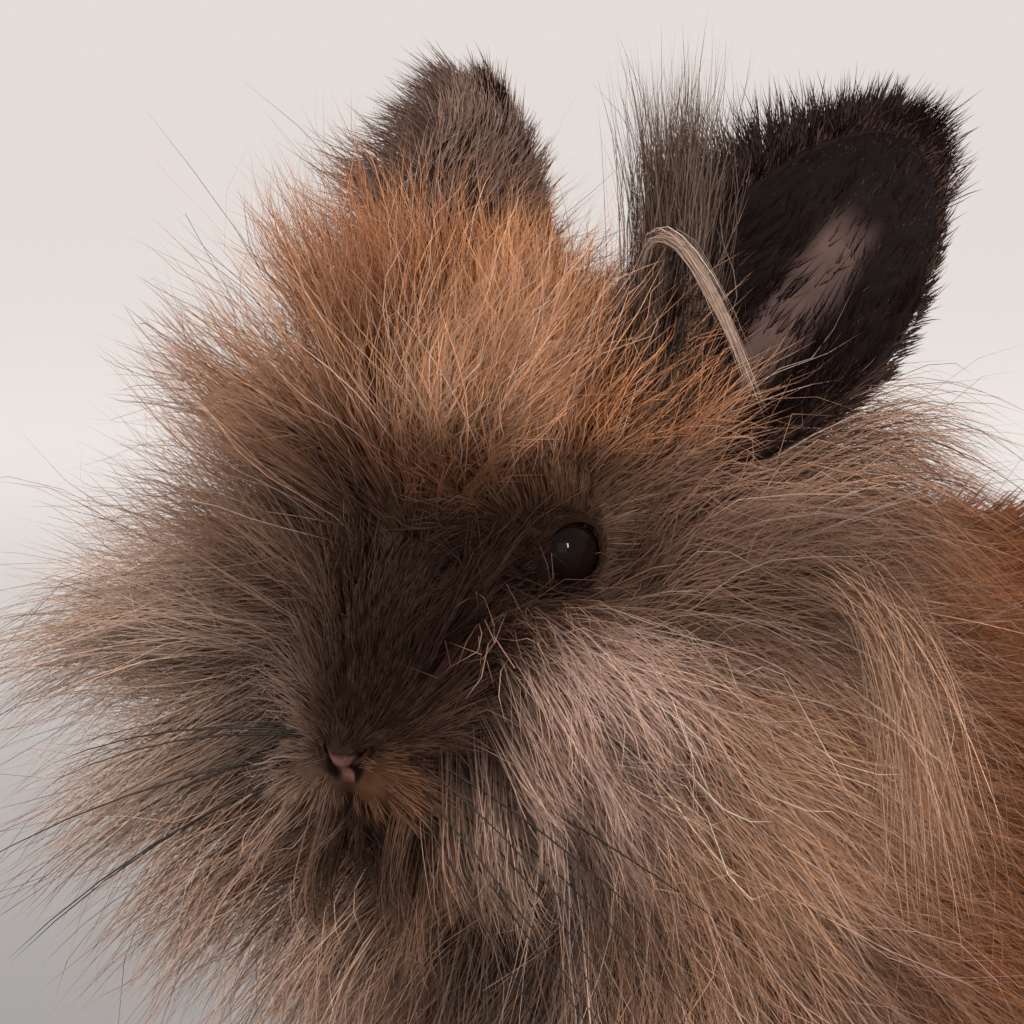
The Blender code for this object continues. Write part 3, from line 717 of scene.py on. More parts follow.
def paint(mesh, colours):
    """Keeps a colour for each corner point of a mesh."""
    layer = mesh.color_attributes.new("Coat", "FLOAT_COLOR", "POINT")
    full = np.c_[np.clip(colours, 0.002, 0.9), np.ones(len(colours))]
    layer.data.foreach_set("color", full.reshape(-1))


# Materials


def new_material(name, roughness, gloss):
    """A material, with what adds nodes to it, what links them, and its shader."""
    made = bpy.data.materials.new(name)
    made.use_nodes = True
    tree = made.node_tree
    shader = tree.nodes["Principled BSDF"]
    shader.inputs["Roughness"].default_value = roughness
    shader.inputs["Specular IOR Level"].default_value = gloss
    return made, tree.nodes.new, tree.links.new, shader


def add_noise(add, link, scale, detail):
    """A noise through the piece."""
    where = add("ShaderNodeTexCoord")
    noise = add("ShaderNodeTexNoise")
    noise.inputs["Scale"].default_value = scale
    noise.inputs["Detail"].default_value = detail
    link(where.outputs["Object"], noise.inputs["Vector"])
    return noise


def fur_material(name, roughness, mottle, scale, gloss):
    """Hair and short fur: its own colour, a little uneven, and dull."""
    made, add, link, shader = new_material(name, roughness, gloss)
    colour = add("ShaderNodeAttribute")
    colour.attribute_name = "Coat"
    noise = add_noise(add, link, scale, 0)
    spread = add("ShaderNodeMapRange")
    spread.inputs["To Min"].default_value = 1 - mottle
    spread.inputs["To Max"].default_value = 1 + mottle
    link(noise.outputs["Fac"], spread.inputs["Value"])
    tinted = add("ShaderNodeVectorMath")
    tinted.operation = "SCALE"
    link(colour.outputs["Color"], tinted.inputs[0])
    link(spread.outputs["Result"], tinted.inputs["Scale"])
    link(tinted.outputs["Vector"], shader.inputs["Base Color"])
    return made


def plain_material(name, colour, roughness, bump=0.0, scale=900.0, gloss=0.4):
    """A simple surface with uneven colour and a fine bump."""
    made, add, link, shader = new_material(name, roughness, gloss)
    noise = add_noise(add, link, scale, 2)
    ramp = add("ShaderNodeValToRGB")
    for end, share in zip(ramp.color_ramp.elements, (1 - UNEVEN, 1 + UNEVEN)):
        end.color = (*(share * c for c in colour), 1)
    link(noise.outputs["Fac"], ramp.inputs["Fac"])
    link(ramp.outputs["Color"], shader.inputs["Base Color"])
    if bump:
        raised = add("ShaderNodeBump")
        raised.inputs["Strength"].default_value = bump
        raised.inputs["Distance"].default_value = BUMP_DEPTH
        link(noise.outputs["Fac"], raised.inputs["Height"])
        link(raised.outputs["Normal"], shader.inputs["Normal"])
    return made


def floor_material(near, far):
    """Pale matte paper, darkened round where the rabbit sits by painted shade that fades with distance."""
    made, add, link, shader = new_material("floor", 0.95, 0.0)
    where = add("ShaderNodeTexCoord")
    reach = add("ShaderNodeVectorMath")
    reach.operation = "LENGTH"
    link(where.outputs["Object"], reach.inputs[0])
    spread = add("ShaderNodeMapRange")
    spread.interpolation_type = "SMOOTHERSTEP"
    spread.inputs["From Min"].default_value = FLOOR_FADE[0]
    spread.inputs["From Max"].default_value = FLOOR_FADE[1]
    link(reach.outputs["Value"], spread.inputs["Value"])
    # Painted shade near the rabbit's place, fading to the paper's own pale tone
    mix = add("ShaderNodeMix")
    mix.data_type = "RGBA"
    mix.inputs["A"].default_value = (*near, 1)
    mix.inputs["B"].default_value = (*far, 1)
    link(spread.outputs["Result"], mix.inputs["Factor"])
    link(mix.outputs["Result"], shader.inputs["Base Color"])
    return made


# How far a plain surface's colour varies either way, and how deep its bumps are
UNEVEN = 0.22
BUMP_DEPTH = 0.0003
FUR = fur_material("wool", 0.7, 0.4, 900, 0.0)
SKIN = fur_material("short_fur", 0.85, 0.25, 700, 0.0)
EAR_INSIDE = fur_material("ear_skin", 0.7, 0.25, 260, 0.14)

# Skin

body_forms = [
    (centre, [r - GROUP_DEPTH[group] for r in radii], pitch)
    for group, centre, radii, pitch in all_body_forms()
]
head_skin = skin_of("skin", head_shapes(), HEAD_VOXEL, 5, head_place())
body_skin = skin_of("body", body_forms, BODY_VOXEL, 6)
for vert in body_skin.data.vertices:
    vert.co.z = max(vert.co.z, FLOOR_LEVEL)


def eye_place(side):
    """The matrix that puts +Z along an eye's gaze, at the eye's centre."""
    mirror = Matrix.Diagonal((side, 1, 1, 1))
    centre = head_place() @ mirror @ EYE_AT
    gaze = head_place().to_3x3() @ mirror.to_3x3() @ EYE_GAZE
    return Matrix.Translation(centre) @ gaze.to_track_quat("Z", "Y").to_matrix().to_4x4()


def combine(obj, pieces, operation):
    """Joins to an object, or cuts from it, all the objects in a list, which are then removed."""
    tools = bpy.data.collections.new("tools")
    scene.collection.children.link(tools)
    for piece in pieces:
        scene.collection.objects.unlink(piece)
        tools.objects.link(piece)
    boolean = obj.modifiers.new(operation.lower(), "BOOLEAN")
    boolean.operation = operation
    boolean.operand_type = "COLLECTION"
    boolean.collection = tools
    boolean.solver = "MANIFOLD"
    apply_modifiers(obj)
    for piece in pieces:
        bpy.data.objects.remove(piece)
    bpy.data.collections.remove(tools)


def round_piece(name, place, scale):
    """An ellipsoid, for joining to the skin or cutting from it."""
    bm = bmesh.new()
    matrix = place @ Matrix.Diagonal((*scale, 1))
    bmesh.ops.create_icosphere(bm, subdivisions=FINENESS, radius=1, matrix=matrix)
    return from_bmesh(name, bm)


lid_radius = EYE_RADIUS + LID_THICKNESS
swells = [round_piece("swell", eye_place(s), (lid_radius,) * 3) for s in SIDES.values()]
combine(head_skin, swells, "UNION")
cuts = []
for side in SIDES.values():
    ahead = Matrix.Translation((0, 0, EYE_RADIUS * 1.4))
    shape = (*LID_OPENING, EYE_RADIUS * 2)
    cuts.append(round_piece("opening", eye_place(side) @ ahead, shape))
    cuts.append(round_piece("socket", eye_place(side), (EYE_RADIUS + 0.0001,) * 3))
    slant = Matrix.Rotation(math.radians(side * 38), 4, "Y")
    at = Matrix.Translation(NOSE_AT + Vector((side * 0.003, -0.002, 0.0008)))
    cuts.append(round_piece("nostril", head_place() @ at @ slant, (0.0008, 0.0042, 0.0026)))
combine(head_skin, cuts, "DIFFERENCE")

head_surface = surface(head_skin)
body_surface = surface(body_skin)


def from_pad(place):
    """How far places in the head's frame are from the bare nose, which ends at 1."""
    return np.linalg.norm((place - np.array(NOSE_AT) - np.array(PAD_AT)) / PAD_SIZE, axis=1)


def skin_tint(points):
    """The skin's colour: the coat's markings, darkened as painted shade under the coat, with the nose
    bare.
    """
    place = to_head(points)
    # The skin is painted darker than the coat, as shade down among the hairs
    tint = markings(points) * 0.55
    bare = smooth(1.25, 0.85, from_pad(place))
    aside = abs(place[:, 0])
    septum = smooth(0.0017, 0.0007, aside) * smooth(-0.0355, -0.0372, place[:, 2])
    wings = smooth(0.0011, 0.0004, abs(place[:, 2] + 0.0375 - 0.5 * aside)) * smooth(0.0044, 0.003, aside)
    septum = np.maximum(septum, 0.7 * wings)
    nose = np.outer(1 - septum, NOSE_DARK) + np.outer(septum, NOSE_PINK)
    return tint * (1 - bare[:, None]) + nose * bare[:, None]


paint(head_skin.data, skin_tint(head_surface[0]))
paint(body_skin.data, skin_tint(body_surface[0]))
for part in (head_skin, body_skin):
    part.data.materials.clear()
    part.data.materials.append(SKIN)
    part.data.shade_smooth()
bpy.ops.object.select_all(action="DESELECT")
body_skin.select_set(True)
head_skin.select_set(True)
bpy.context.view_layer.objects.active = head_skin
bpy.ops.object.join()
skin = head_skin
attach(skin, "root")
FLESH = ["head", "neck", "torso", "tail"]
for side_name in SIDES:
    FLESH += [f"{kind}_{side_name}" for kind in ("arm", "paw", "thigh", "foot")]
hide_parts(*FLESH)

# Coat on the head and body

all_forms = form_arrays()
# Kinds of hair: how many to a tuft, its radius, how far they draw together and how unevenly, how far
# they stray, the shortest's share of the length, waves along them and their height, width, how much
# tufts differ in tone, painted shade at the root and painted light at the tip, and the share of pale hairs
HAIR_KEYS = (
    "per", "radius", "clump", "loose", "stray", "shortest", "waves", "frizz", "width", "tone",
    "shade", "pale",
)
HAIR_ROWS = (
    (26, 0.0044, 0.42, 0.42, 0.125, 0.5, 1.3, 0.07, 0.0002, 0.22, (0.42, 1.4), 0.06),
    (9, 0.0012, 0.35, 0.3, 0.06, 0.6, 0.6, 0.03, 0.00022, 0.12, (0.6, 1.2), 0.03),
    (12, 0.003, 0.4, 0.35, 0.07, 0.6, 0.6, 0.03, 0.00042, 0.16, (0.5, 1.35), 0.05),
)
WOOL, SHORT, BODY = (dict(zip(HAIR_KEYS, row)) for row in HAIR_ROWS)
TAIL = dict(WOOL, per=20, radius=0.0034, stray=0.14, width=0.00026, shade=(0.5, 1.3))
# Long single hairs that stand out from the outline
WISPS = dict(
    WOOL, per=3, radius=0.006, clump=0.0, loose=0.5, stray=0.16, shortest=0.8, frizz=0.06,
    waves=1.3, width=0.00016, shade=(0.9, 1.9), pale=0.5,
)


# The head's wool ends at this depth and height, and the body's starts this far from the head's middle
HEAD_BACK, HEAD_LOW, HEAD_HOLD = 0.05, 0.098, 0.03
INSIDE_HEAD = (0, 0.004, -0.012)
# Nothing grows on the soles
SOLE_LEVEL = 0.0015
MANE_LEVEL = 0.06


def coat(name, ground, density, count, steps, spec, slot, middle, seed):
    """Grows one piece of the coat over part of the skin."""
    skin_arrays, plan_of = ground
    rng = np.random.default_rng(SEED + seed)
    root, normal = scatter(skin_arrays, count, density, rng)
    plan = plan_of(root, normal)
    line, ahead = guides(root, normal, plan, steps, seed % 3 + 1, all_forms)
    free = ~in_view_of_eye(line)
    line, ahead, normal, root = line[free], ahead[free], normal[free], root[free]
    made = strands(line, normal, ahead, markings, spec, rng)
    piece = ribbons(name, made, np.array(middle), rng, FUR)
    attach(piece, "root")


def head_part(test):
    """A density for part of the head's wool, from a test on places in the head's frame."""

    def density(points, normals):
        place = to_head(points)
        hidden = (place[:, 1] > HEAD_BACK) | (points[:, 2] < HEAD_LOW)
        return wool_share(place) * test(place) * ~hidden

    return density


def short_density(points, normals):
    """Where the head's fur is short."""
    place = to_head(points)
    bare = from_pad(place) < 1
    away = place - to_side(EYE_AT, place[:, 0])
    gaze = to_side(EYE_GAZE, place[:, 0])
    along = (away * gaze).sum(1)
    beside = np.linalg.norm(away - gaze * along[:, None], axis=1)
    eye = (along > 0) & (beside < BARE_EYE)
    lids = (along > 0) & (beside < LID_REACH)
    return ((1 - wool_share(place)) * (1 + 2.0 * lids) + 0.03) * ~bare * ~eye


def trunk_part(test):
    """A density for part of the body's coat, from a test on places in the row."""

    def density(points, normals):
        place = to_head(points)
        under_head = np.linalg.norm(place - np.array(INSIDE_HEAD), axis=1) < HEAD_HOLD
        return test(points) * ~under_head * (points[:, 2] > SOLE_LEVEL)

    return density


def is_mane(points):
    """Where the body's coat is long wool."""
    return (points[:, 1] < 0.0) & (points[:, 2] > MANE_LEVEL)


def is_foot(points):
    """Where the fur of the paws and feet is short."""
    names = list(GROUP_COATS)
    return np.isin(group_of(points), (names.index("paw"), names.index("foot")))


def is_tail(points):
    """Where the tail is."""
    return group_of(points) == list(GROUP_COATS).index("tail")


def is_body(points):
    """Where the body's own coat grows."""
    return ~is_mane(points) & ~is_foot(points) & ~is_tail(points)


# The height in the head's frame where the forelock ends and the cheeks' wool starts
CROWN_EDGE = 0.006
HEAD_MIDDLE = HEAD_ROWS @ np.array(INSIDE_HEAD) + HEAD_ORIGIN
BODY_MIDDLE = (0, 0.03, 0.07)


def wispy(plan_of):
    """A plan with longer and more upright hair."""

    def plan(root, normal):
        made = plan_of(root, normal)
        made["length"] = made["length"] * 1.18
        made["lift"] = made["lift"] + 0.25
        return made

    return plan


HEAD_PLANS = (head_surface, head_plan)
BODY_PLANS = (body_surface, body_plan)
# Pieces: name, skin and plan, where they grow, tufts, steps, kind, slot, middle, seed
COATS = (
    ("face_fur", HEAD_PLANS, short_density, 2800, 3, SHORT, "coat_sooty", HEAD_MIDDLE, 1),
    ("forelock", HEAD_PLANS, head_part(lambda p: p[:, 2] > CROWN_EDGE), 660, 6, WOOL,
     "coat_brown", HEAD_MIDDLE, 2),
    ("cheek_wool_left", HEAD_PLANS, head_part(lambda p: (p[:, 2] <= CROWN_EDGE) & (p[:, 0] > 0)),
     605, 6, WOOL, "coat_beige", HEAD_MIDDLE, 3),
    ("cheek_wool_right", HEAD_PLANS, head_part(lambda p: (p[:, 2] <= CROWN_EDGE) & (p[:, 0] <= 0)),
     605, 6, WOOL, "coat_beige", HEAD_MIDDLE, 4),
    ("ruff_left", BODY_PLANS, trunk_part(lambda q: is_mane(q) * (q[:, 0] > 0)),
     540, 5, WOOL, "coat_beige", BODY_MIDDLE, 5),
    ("ruff_right", BODY_PLANS, trunk_part(lambda q: is_mane(q) * (q[:, 0] <= 0)),
     540, 5, WOOL, "coat_beige", BODY_MIDDLE, 6),
    ("body_coat_left", BODY_PLANS, trunk_part(lambda q: is_body(q) * (q[:, 0] > 0)),
     1850, 3, BODY, "coat_rust", BODY_MIDDLE, 7),
    ("body_coat_right", BODY_PLANS, trunk_part(lambda q: is_body(q) * (q[:, 0] <= 0)),
     1850, 3, BODY, "coat_rust", BODY_MIDDLE, 8),
    ("feet_fur", BODY_PLANS, trunk_part(is_foot), 1500, 3, SHORT, "coat_sooty", BODY_MIDDLE, 11),
    ("tail_wool", BODY_PLANS, trunk_part(is_tail), 230, 4, TAIL, "coat_rust", BODY_MIDDLE, 12),
    ("wisps_head", (head_surface, wispy(head_plan)), head_part(lambda p: p[:, 2] > -1), 620, 7,
     WISPS, "coat_beige", HEAD_MIDDLE, 9),
    ("wisps_ruff", (body_surface, wispy(body_plan)), trunk_part(is_mane), 380, 7,
     WISPS, "coat_beige", BODY_MIDDLE, 10),
)
for row in COATS:
    coat(*row)

# Single locks

# Each lock as the points of its path in the head's frame, the spread at its root and its tip, its
# number of hairs, how far they stray and its colour
LOCKS = {
    "ear_tuft": (
        ((0.022, 0.018, 0.022), (0.025, 0.02, 0.043), (0.0235, 0.023, 0.062), (0.02, 0.025, 0.081)),
        0.01, 0.005, 1250, 0.1, TUFT_GREY,
    ),
    "arched_lock": (
        ((0.021, 0.018, 0.046), (0.0265, 0.01, 0.0555), (0.035, 0.006, 0.055),
         (0.043, 0.008, 0.044), (0.05, 0.012, 0.028)),
        0.0018, 0.0009, 110, 0.016, GREY_BEIGE,
    ),
    "blond_lock": (
        ((0.058, 0.026, -0.002), (0.072, 0.02, -0.005), (0.081, 0.018, -0.019),
         (0.087, 0.018, -0.038), (0.091, 0.019, -0.06)),
        0.01, 0.006, 190, 0.11, STREAK_TAN,
    ),
    "right_sweep": (
        ((-0.03, -0.012, -0.02), (-0.05, -0.014, -0.024), (-0.07, -0.015, -0.031),
         (-0.088, -0.014, -0.044)),
        0.016, 0.008, 460, 0.12, None,
    ),
    "right_brow_sweep": (
        ((-0.024, -0.006, 0.008), (-0.04, -0.006, 0.015), (-0.056, -0.002, 0.021),
         (-0.069, 0.002, 0.025)),
        0.015, 0.008, 420, 0.13, None,
    ),
    "right_jaw_sweep": (
        ((-0.022, -0.012, -0.034), (-0.04, -0.016, -0.046), (-0.058, -0.017, -0.06),
         (-0.074, -0.014, -0.075)),
        0.016, 0.009, 460, 0.12, None,
    ),
    "right_bib": (
        ((-0.02, 0.01, -0.052), (-0.028, -0.012, -0.06), (-0.032, -0.026, -0.07),
         (-0.035, -0.036, -0.084)),
        0.019, 0.013, 560, 0.13, CHEST_BEIGE,
    ),
    "middle_bib": (
        ((-0.004, 0.006, -0.062), (-0.005, -0.014, -0.07), (-0.005, -0.03, -0.082),
         (-0.005, -0.036, -0.098)),
        0.019, 0.013, 520, 0.13, CHEST_BEIGE,
    ),
    "nape_sweep": (
        ((0.03, 0.04, 0.004), (0.043, 0.046, 0.016), (0.057, 0.053, 0.021),
         (0.073, 0.062, 0.012)),
        0.014, 0.01, 520, 0.13, NAPE_TAN,
    ),
    "shoulder_sweep": (
        ((0.038, 0.034, 0.0), (0.054, 0.038, 0.01), (0.07, 0.042, 0.008),
         (0.086, 0.05, -0.006)),
        0.014, 0.01, 420, 0.13, None,
    ),
    "left_point": (
        ((-0.016, 0.004, 0.02), (-0.027, 0.0, 0.033), (-0.038, -0.002, 0.044), (-0.044, 0.0, 0.058)),
        0.012, 0.006, 300, 0.12, TAN,
    ),
}
# Short pointed tufts on the cheek and under the lips: root and tip
TUFTS = (
    ((0.03, -0.02, -0.018), (0.043, -0.016, -0.036)), ((0.026, -0.022, -0.022), (0.037, -0.02, -0.042)),
    ((0.024, -0.024, -0.028), (0.032, -0.022, -0.048)), ((0.032, -0.016, -0.026), (0.044, -0.012, -0.048)),
    ((0.028, -0.018, -0.034), (0.036, -0.014, -0.057)), ((0.036, -0.01, -0.02), (0.053, -0.006, -0.038)),
    ((0.022, -0.024, -0.034), (0.027, -0.022, -0.058)), ((0.016, -0.028, -0.038), (0.019, -0.026, -0.062)),
    ((0.011, -0.03, -0.043), (0.012, -0.028, -0.067)), ((0.019, -0.026, -0.04), (0.023, -0.022, -0.068)),
    ((0.014, -0.026, -0.046), (0.015, -0.02, -0.074)), ((0.024, -0.022, -0.042), (0.031, -0.016, -0.07)),
    ((0.034, -0.014, -0.036), (0.047, -0.008, -0.06)), ((-0.01, -0.028, -0.044), (-0.02, -0.028, -0.066)),
    ((-0.004, -0.03, -0.048), (-0.009, -0.03, -0.068)),
)


def along_path(path, steps):
    """Points at even steps of a smooth curve through a few points."""
    path = np.array(path)
    at = np.linspace(0, len(path) - 1, steps + 1)
    low = np.minimum(at.astype(int), len(path) - 2)
    share = (at - low)[:, None]
    padded = np.concatenate([2 * path[:1] - path[1:2], path, 2 * path[-1:] - path[-2:-1]])
    a, b, c, d = (padded[low + k] for k in range(4))
    curve = 2 * b + (c - a) * share + (2 * a - 5 * b + 4 * c - d) * share ** 2
    return (curve + (3 * b - a - 3 * c + d) * share ** 3) / 2


def one_colour(colour):
    """A colour that doesn't change with the place."""
    return lambda points: np.tile(np.array(colour), (len(points), 1))


def single_lock(name, shape, colour_at, seed):
    """One lock of the mane that the photo shows by itself."""
    path, spread, tip_spread, count, stray = shape
    rng = np.random.default_rng(SEED + seed)
    middle = along_path(path, LOCK_STEPS) @ HEAD_ROWS.T + HEAD_ORIGIN
    share = np.linspace(0, 1, len(middle))
    aside = unit(rng.normal(size=(count, 3))) * rng.uniform(0, 1, (count, 1)) ** 0.5
    wide = spread + (tip_spread - spread) * share
    reach = rng.uniform(0.72, 1.0, count)
    line = np.stack([np.interp(r * share, share, middle[:, k]) for r in reach for k in range(3)])
    line = line.reshape(count, 3, -1).transpose(0, 2, 1)
    line = line + aside[:, None] * wide[None, :, None]
    normal = unit(aside + 0.3 * unit(middle[LOCK_STEPS // 2] - HEAD_MIDDLE))
    ahead = unit(line[:, 1] - line[:, 0])
    spec = dict(
        WOOL, per=1, radius=0.0, shortest=0.97, stray=stray, frizz=0.01 + 0.3 * stray, waves=1.1,
        shade=(0.6, 1.3),
    )
    return strands(line, normal, ahead, colour_at, spec, rng)


def lock_piece(name, made, seed):
    """A piece of the coat from finished hairs."""
    rng = np.random.default_rng(SEED + seed)
    piece = ribbons(name, made, np.array(HEAD_MIDDLE), rng, FUR)
    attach(piece, "root")


LOCK_STEPS = 8
for number, (lock_name, (*shape, colour)) in enumerate(LOCKS.items()):
    colour_at = one_colour(colour) if colour else markings
    made = single_lock(lock_name, shape, colour_at, 30 + number)
    lock_piece(lock_name, made, 30 + number)

tufts = []
tuft_rng = np.random.default_rng(SEED + 90)
for number, (low, tip) in enumerate(TUFTS):
    low, tip = np.array(low), np.array(tip) + tuft_rng.normal(0, 0.0028, 3)
    bow = (low + tip) / 2 + unit(low - np.array((0, 0.01, -0.02))) * 0.006
    shape = ((low - unit(low) * 0.003, bow, tip), 0.005, 0.002, 95, 0.085)
    tufts.append(single_lock("tuft", shape, markings, 60 + number))
joined = [np.concatenate(found) for found in zip(*tufts)]
lock_piece("cheek_tufts", joined, 60)

# Ears


def ear_surface(side_name, columns, rows):
    """The open, cupped surface of an ear, as points and the ways inward and along at each."""
    turned = head_place().to_3x3()
    root, tip, way, widest, curls = EARS[side_name]
    axis = tip - root
    facing = Vector((math.sin(way), -math.cos(way), 0))
    along = axis.normalized()
    opening = (facing - along * facing.dot(along)).normalized()
    across = along.cross(opening)
    points, inward, outward = [], [], []
    for j in range(rows + 1):
        v = math.sin(math.pi / 2 * j / rows)
        half = widest * math.sqrt(math.sin(math.pi * (0.13 + 0.863 * v)))
        curl = curls[0] + (curls[1] - curls[0]) * min(1.0, v * 2.2)
        middle = root + along * axis.length * v - opening * 0.004 * math.sin(math.pi * v)
        for i in range(columns + 1):
            angle = (2 * i / columns - 1) * curl
            offset = across * math.sin(angle) + opening * (1 - math.cos(angle))
            points.append(head_place() @ (middle + offset * half / curl))
            inward.append(turned @ (opening * math.cos(angle) - across * math.sin(angle)))
            outward.append(turned @ (across * math.cos(angle) + opening * math.sin(angle)))
    shape = (rows + 1, columns + 1, 3)
    arrays = [np.array([tuple(v) for v in found]).reshape(shape) for found in (points, inward, outward)]
    return (*arrays, np.array(turned @ along))


def ear_shell(side_name, points, inward):
    """An ear's cupped skin: sooty, but for the bare middle of its inside."""
    columns, rows = EAR_GRID
    bm = bmesh.new()
    verts = [[bm.verts.new(p) for p in row] for row in points]
    for low, high in zip(verts, verts[1:]):
        for i in range(columns):
            bm.faces.new((low[i], low[i + 1], high[i + 1], high[i]))
    shell = from_bmesh("ear_shell_" + side_name, bm)
    thick = shell.modifiers.new("thickness", "SOLIDIFY")
    thick.thickness = EAR_THICKNESS
    thick.offset = 0
    apply_modifiers(shell)
    shell.data.shade_smooth()
    place = surface(shell)[0]
    count = (rows + 1) * (columns + 1)
    height = np.repeat(np.sin(math.pi / 2 * np.linspace(0, 1, rows + 1)), columns + 1)
    middle = np.tile(np.linspace(-1, 1, columns + 1), rows + 1) * SIDES[side_name]
    bare = smooth(0.34, 0.14, abs(middle - BARE_MIDDLE)) * smooth(0.8, 0.66, height)
    inner = np.outer(bare, EAR_SKIN) + np.outer(1 - bare, EAR_SOOT)
    outer = np.tile(np.array(EAR_SOOT) * 1.2, (count, 1))
    inside_first = ((place[:count] - place[count:2 * count]) * inward.reshape(-1, 3)).sum() > 0
    layers = (inner, outer) if inside_first else (outer, inner)
    paint(shell.data, np.concatenate(layers)[:len(place)])
    shell.data.materials.clear()
    shell.data.materials.append(EAR_INSIDE)
    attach(shell, "root")
    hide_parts("ear_" + side_name)


def ear_fur(side_name, points, inward, outward, along):
    """An ear's fur: short on both faces, with a long fringe on its front rim."""
    columns, rows = EAR_GRID
    side = SIDES[side_name]
    rng = np.random.default_rng(SEED + 20 + side)
    grown = []

    def add(i, j, way, normal, length, lift, tint):
        low = np.clip(i.astype(int), 0, columns - 1), np.clip(j.astype(int), 0, rows - 1)
        a, b = (i - low[0])[:, None], (j - low[1])[:, None]
        root = points[low[1], low[0]] * (1 - a) * (1 - b)
        root = root + points[low[1], low[0] + 1] * a * (1 - b)
        root = root + points[low[1] + 1, low[0]] * (1 - a) * b
        root = root + points[low[1] + 1, low[0] + 1] * a * b
        size = len(root)
        tints = np.tile(np.array(tint), (size, 1))
        grown.append((root, way, normal, length, np.full(size, lift), tints))

    def spots(number, low=0.0, high=1.0):
        i = rng.uniform(0, columns, number)
        j = np.arcsin(rng.uniform(low, high, number)) / (math.pi / 2) * rows
        return i, np.minimum(j, rows - 0.01)

    def picked(field, i, j):
        row = np.clip(j.round().astype(int), 0, rows)
        return field[row, np.clip(i.round().astype(int), 0, columns)]

    i, j = spots(BACK_TUFTS)
    away = picked(inward, i, j)
    sideways = picked(outward, i, j) * (i / columns - 0.5)[:, None]
    length = rng.uniform(0.006, 0.011, len(i))
    add(i, j, along + 0.5 * sideways, -away, length, 0.3, EAR_BACK[side_name])

    i, j = spots(INSIDE_TUFTS, 0.05, 1.0)
    away = picked(inward, i, j)
    middle = (2 * i / columns - 1) * side
    bare = (abs(middle - BARE_MIDDLE) < 0.26) & (j / rows < 0.52) & (rng.uniform(size=len(i)) < 0.75)
    i, j, away = i[~bare], j[~bare], away[~bare]
    length = rng.uniform(0.007, 0.014, len(i))
    add(i, j, along + 0.2 * away, away, length, 0.4, EAR_SOOT)

    front = 0 if side > 0 else columns
    rims = ((front, EAR_FRINGE[side_name], 0.9, FRONT_TUFTS), (columns - front, 0.005, 0.3, REAR_TUFTS))
    for rim, longest, amount, number in rims:
        j = rng.uniform(0.06, 0.97, number) * rows
        i = np.full(number, float(rim))
        way = picked(outward, i, j) * (1 if rim else -1)
        low = smooth(0.75, 0.25, j / rows)
        length = longest * rng.uniform(0.45, 1.0, number) * (0.65 + 0.6 * low)
        way = along + way * (amount + 0.5 * low)[:, None]
        add(i, j, way, picked(inward, i, j), length, 0.12, EAR_EDGE[side_name])

    i, j = spots(TIP_TUFTS, 0.97, 1.0)
    length = rng.uniform(0.004, 0.008, len(i))
    add(i, j, np.tile(along, (len(i), 1)), picked(inward, i, j), length, 0.1, EAR_SOOT)

    root, lie, normal, length, lift, tint = (np.concatenate(column) for column in zip(*grown))
    size = len(root)
    plan = {
        "length": length, "lift": lift, "droop": np.zeros(size), "lie": lie,
        "wool": np.full(size, 0.35),
    }
    line, ahead = guides(root, normal, plan, 3, 2, [])
    tint = np.repeat(tint, EAR_HAIR["per"], axis=0)
    made = strands(line, normal, ahead, lambda p: np.repeat(tint, len(p) // len(tint), axis=0),
                   EAR_HAIR, rng)
    fur = ribbons("ear_fur_" + side_name, made, root.mean(0), rng, FUR)
    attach(fur, "root")


# Tufts on an ear's back, on its inside, on its two rims and at its tip
BACK_TUFTS, INSIDE_TUFTS, FRONT_TUFTS, REAR_TUFTS, TIP_TUFTS = 1000, 720, 480, 160, 170
# Where the bare middle of an ear's inside lies, from -1 at its rear rim to 1 at its front rim
BARE_MIDDLE = 0.1
EAR_HAIR = dict(SHORT, per=6, radius=0.0014, stray=0.13, width=0.00024, shade=(0.8, 1.6), tone=0.25)
for side_name in SIDES:
    points, inward, outward, along = ear_surface(side_name, *EAR_GRID)
    ear_shell(side_name, points, inward)
    ear_fur(side_name, points, inward, outward, along)

# Eyes

EYE = plain_material("eye", (0.008, 0.004, 0.003), 0.02, scale=400, gloss=0.07)
for side_name, side in SIDES.items():
    bm = bmesh.new()
    bmesh.ops.create_uvsphere(
        bm, u_segments=64, v_segments=40, radius=EYE_RADIUS, matrix=eye_place(side)
    )
    eye = from_bmesh("eyeball_" + side_name, bm)
    eye.data.shade_smooth()
    eye.data.materials.append(EYE)
    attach(eye, "root")
    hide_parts("eye_" + side_name)

# Whiskers and claws


def blade(bm, path, across, widths):
    """Adds a thin, pointed shape of three sides along a path to a bmesh."""
    rings = []
    for k, width in enumerate(widths):
        along = (path[k + 1] - path[max(k - 1, 0)]).normalized()
        side = (across - along * across.dot(along)).normalized()
        ridge = side.cross(along)
        corners = (side * width / 2, ridge * width * 0.8, -side * width / 2)
        rings.append([bm.verts.new(path[k] + corner) for corner in corners])
    tip = bm.verts.new(path[-1])
    for low, high in zip(rings, rings[1:]):
        for a in range(3):
            b = (a + 1) % 3
            bm.faces.new((low[a], low[b], high[b], high[a]))
    for a in range(3):
        bm.faces.new((rings[-1][a], rings[-1][(a + 1) % 3], tip))
    bm.faces.new(rings[0][::-1])


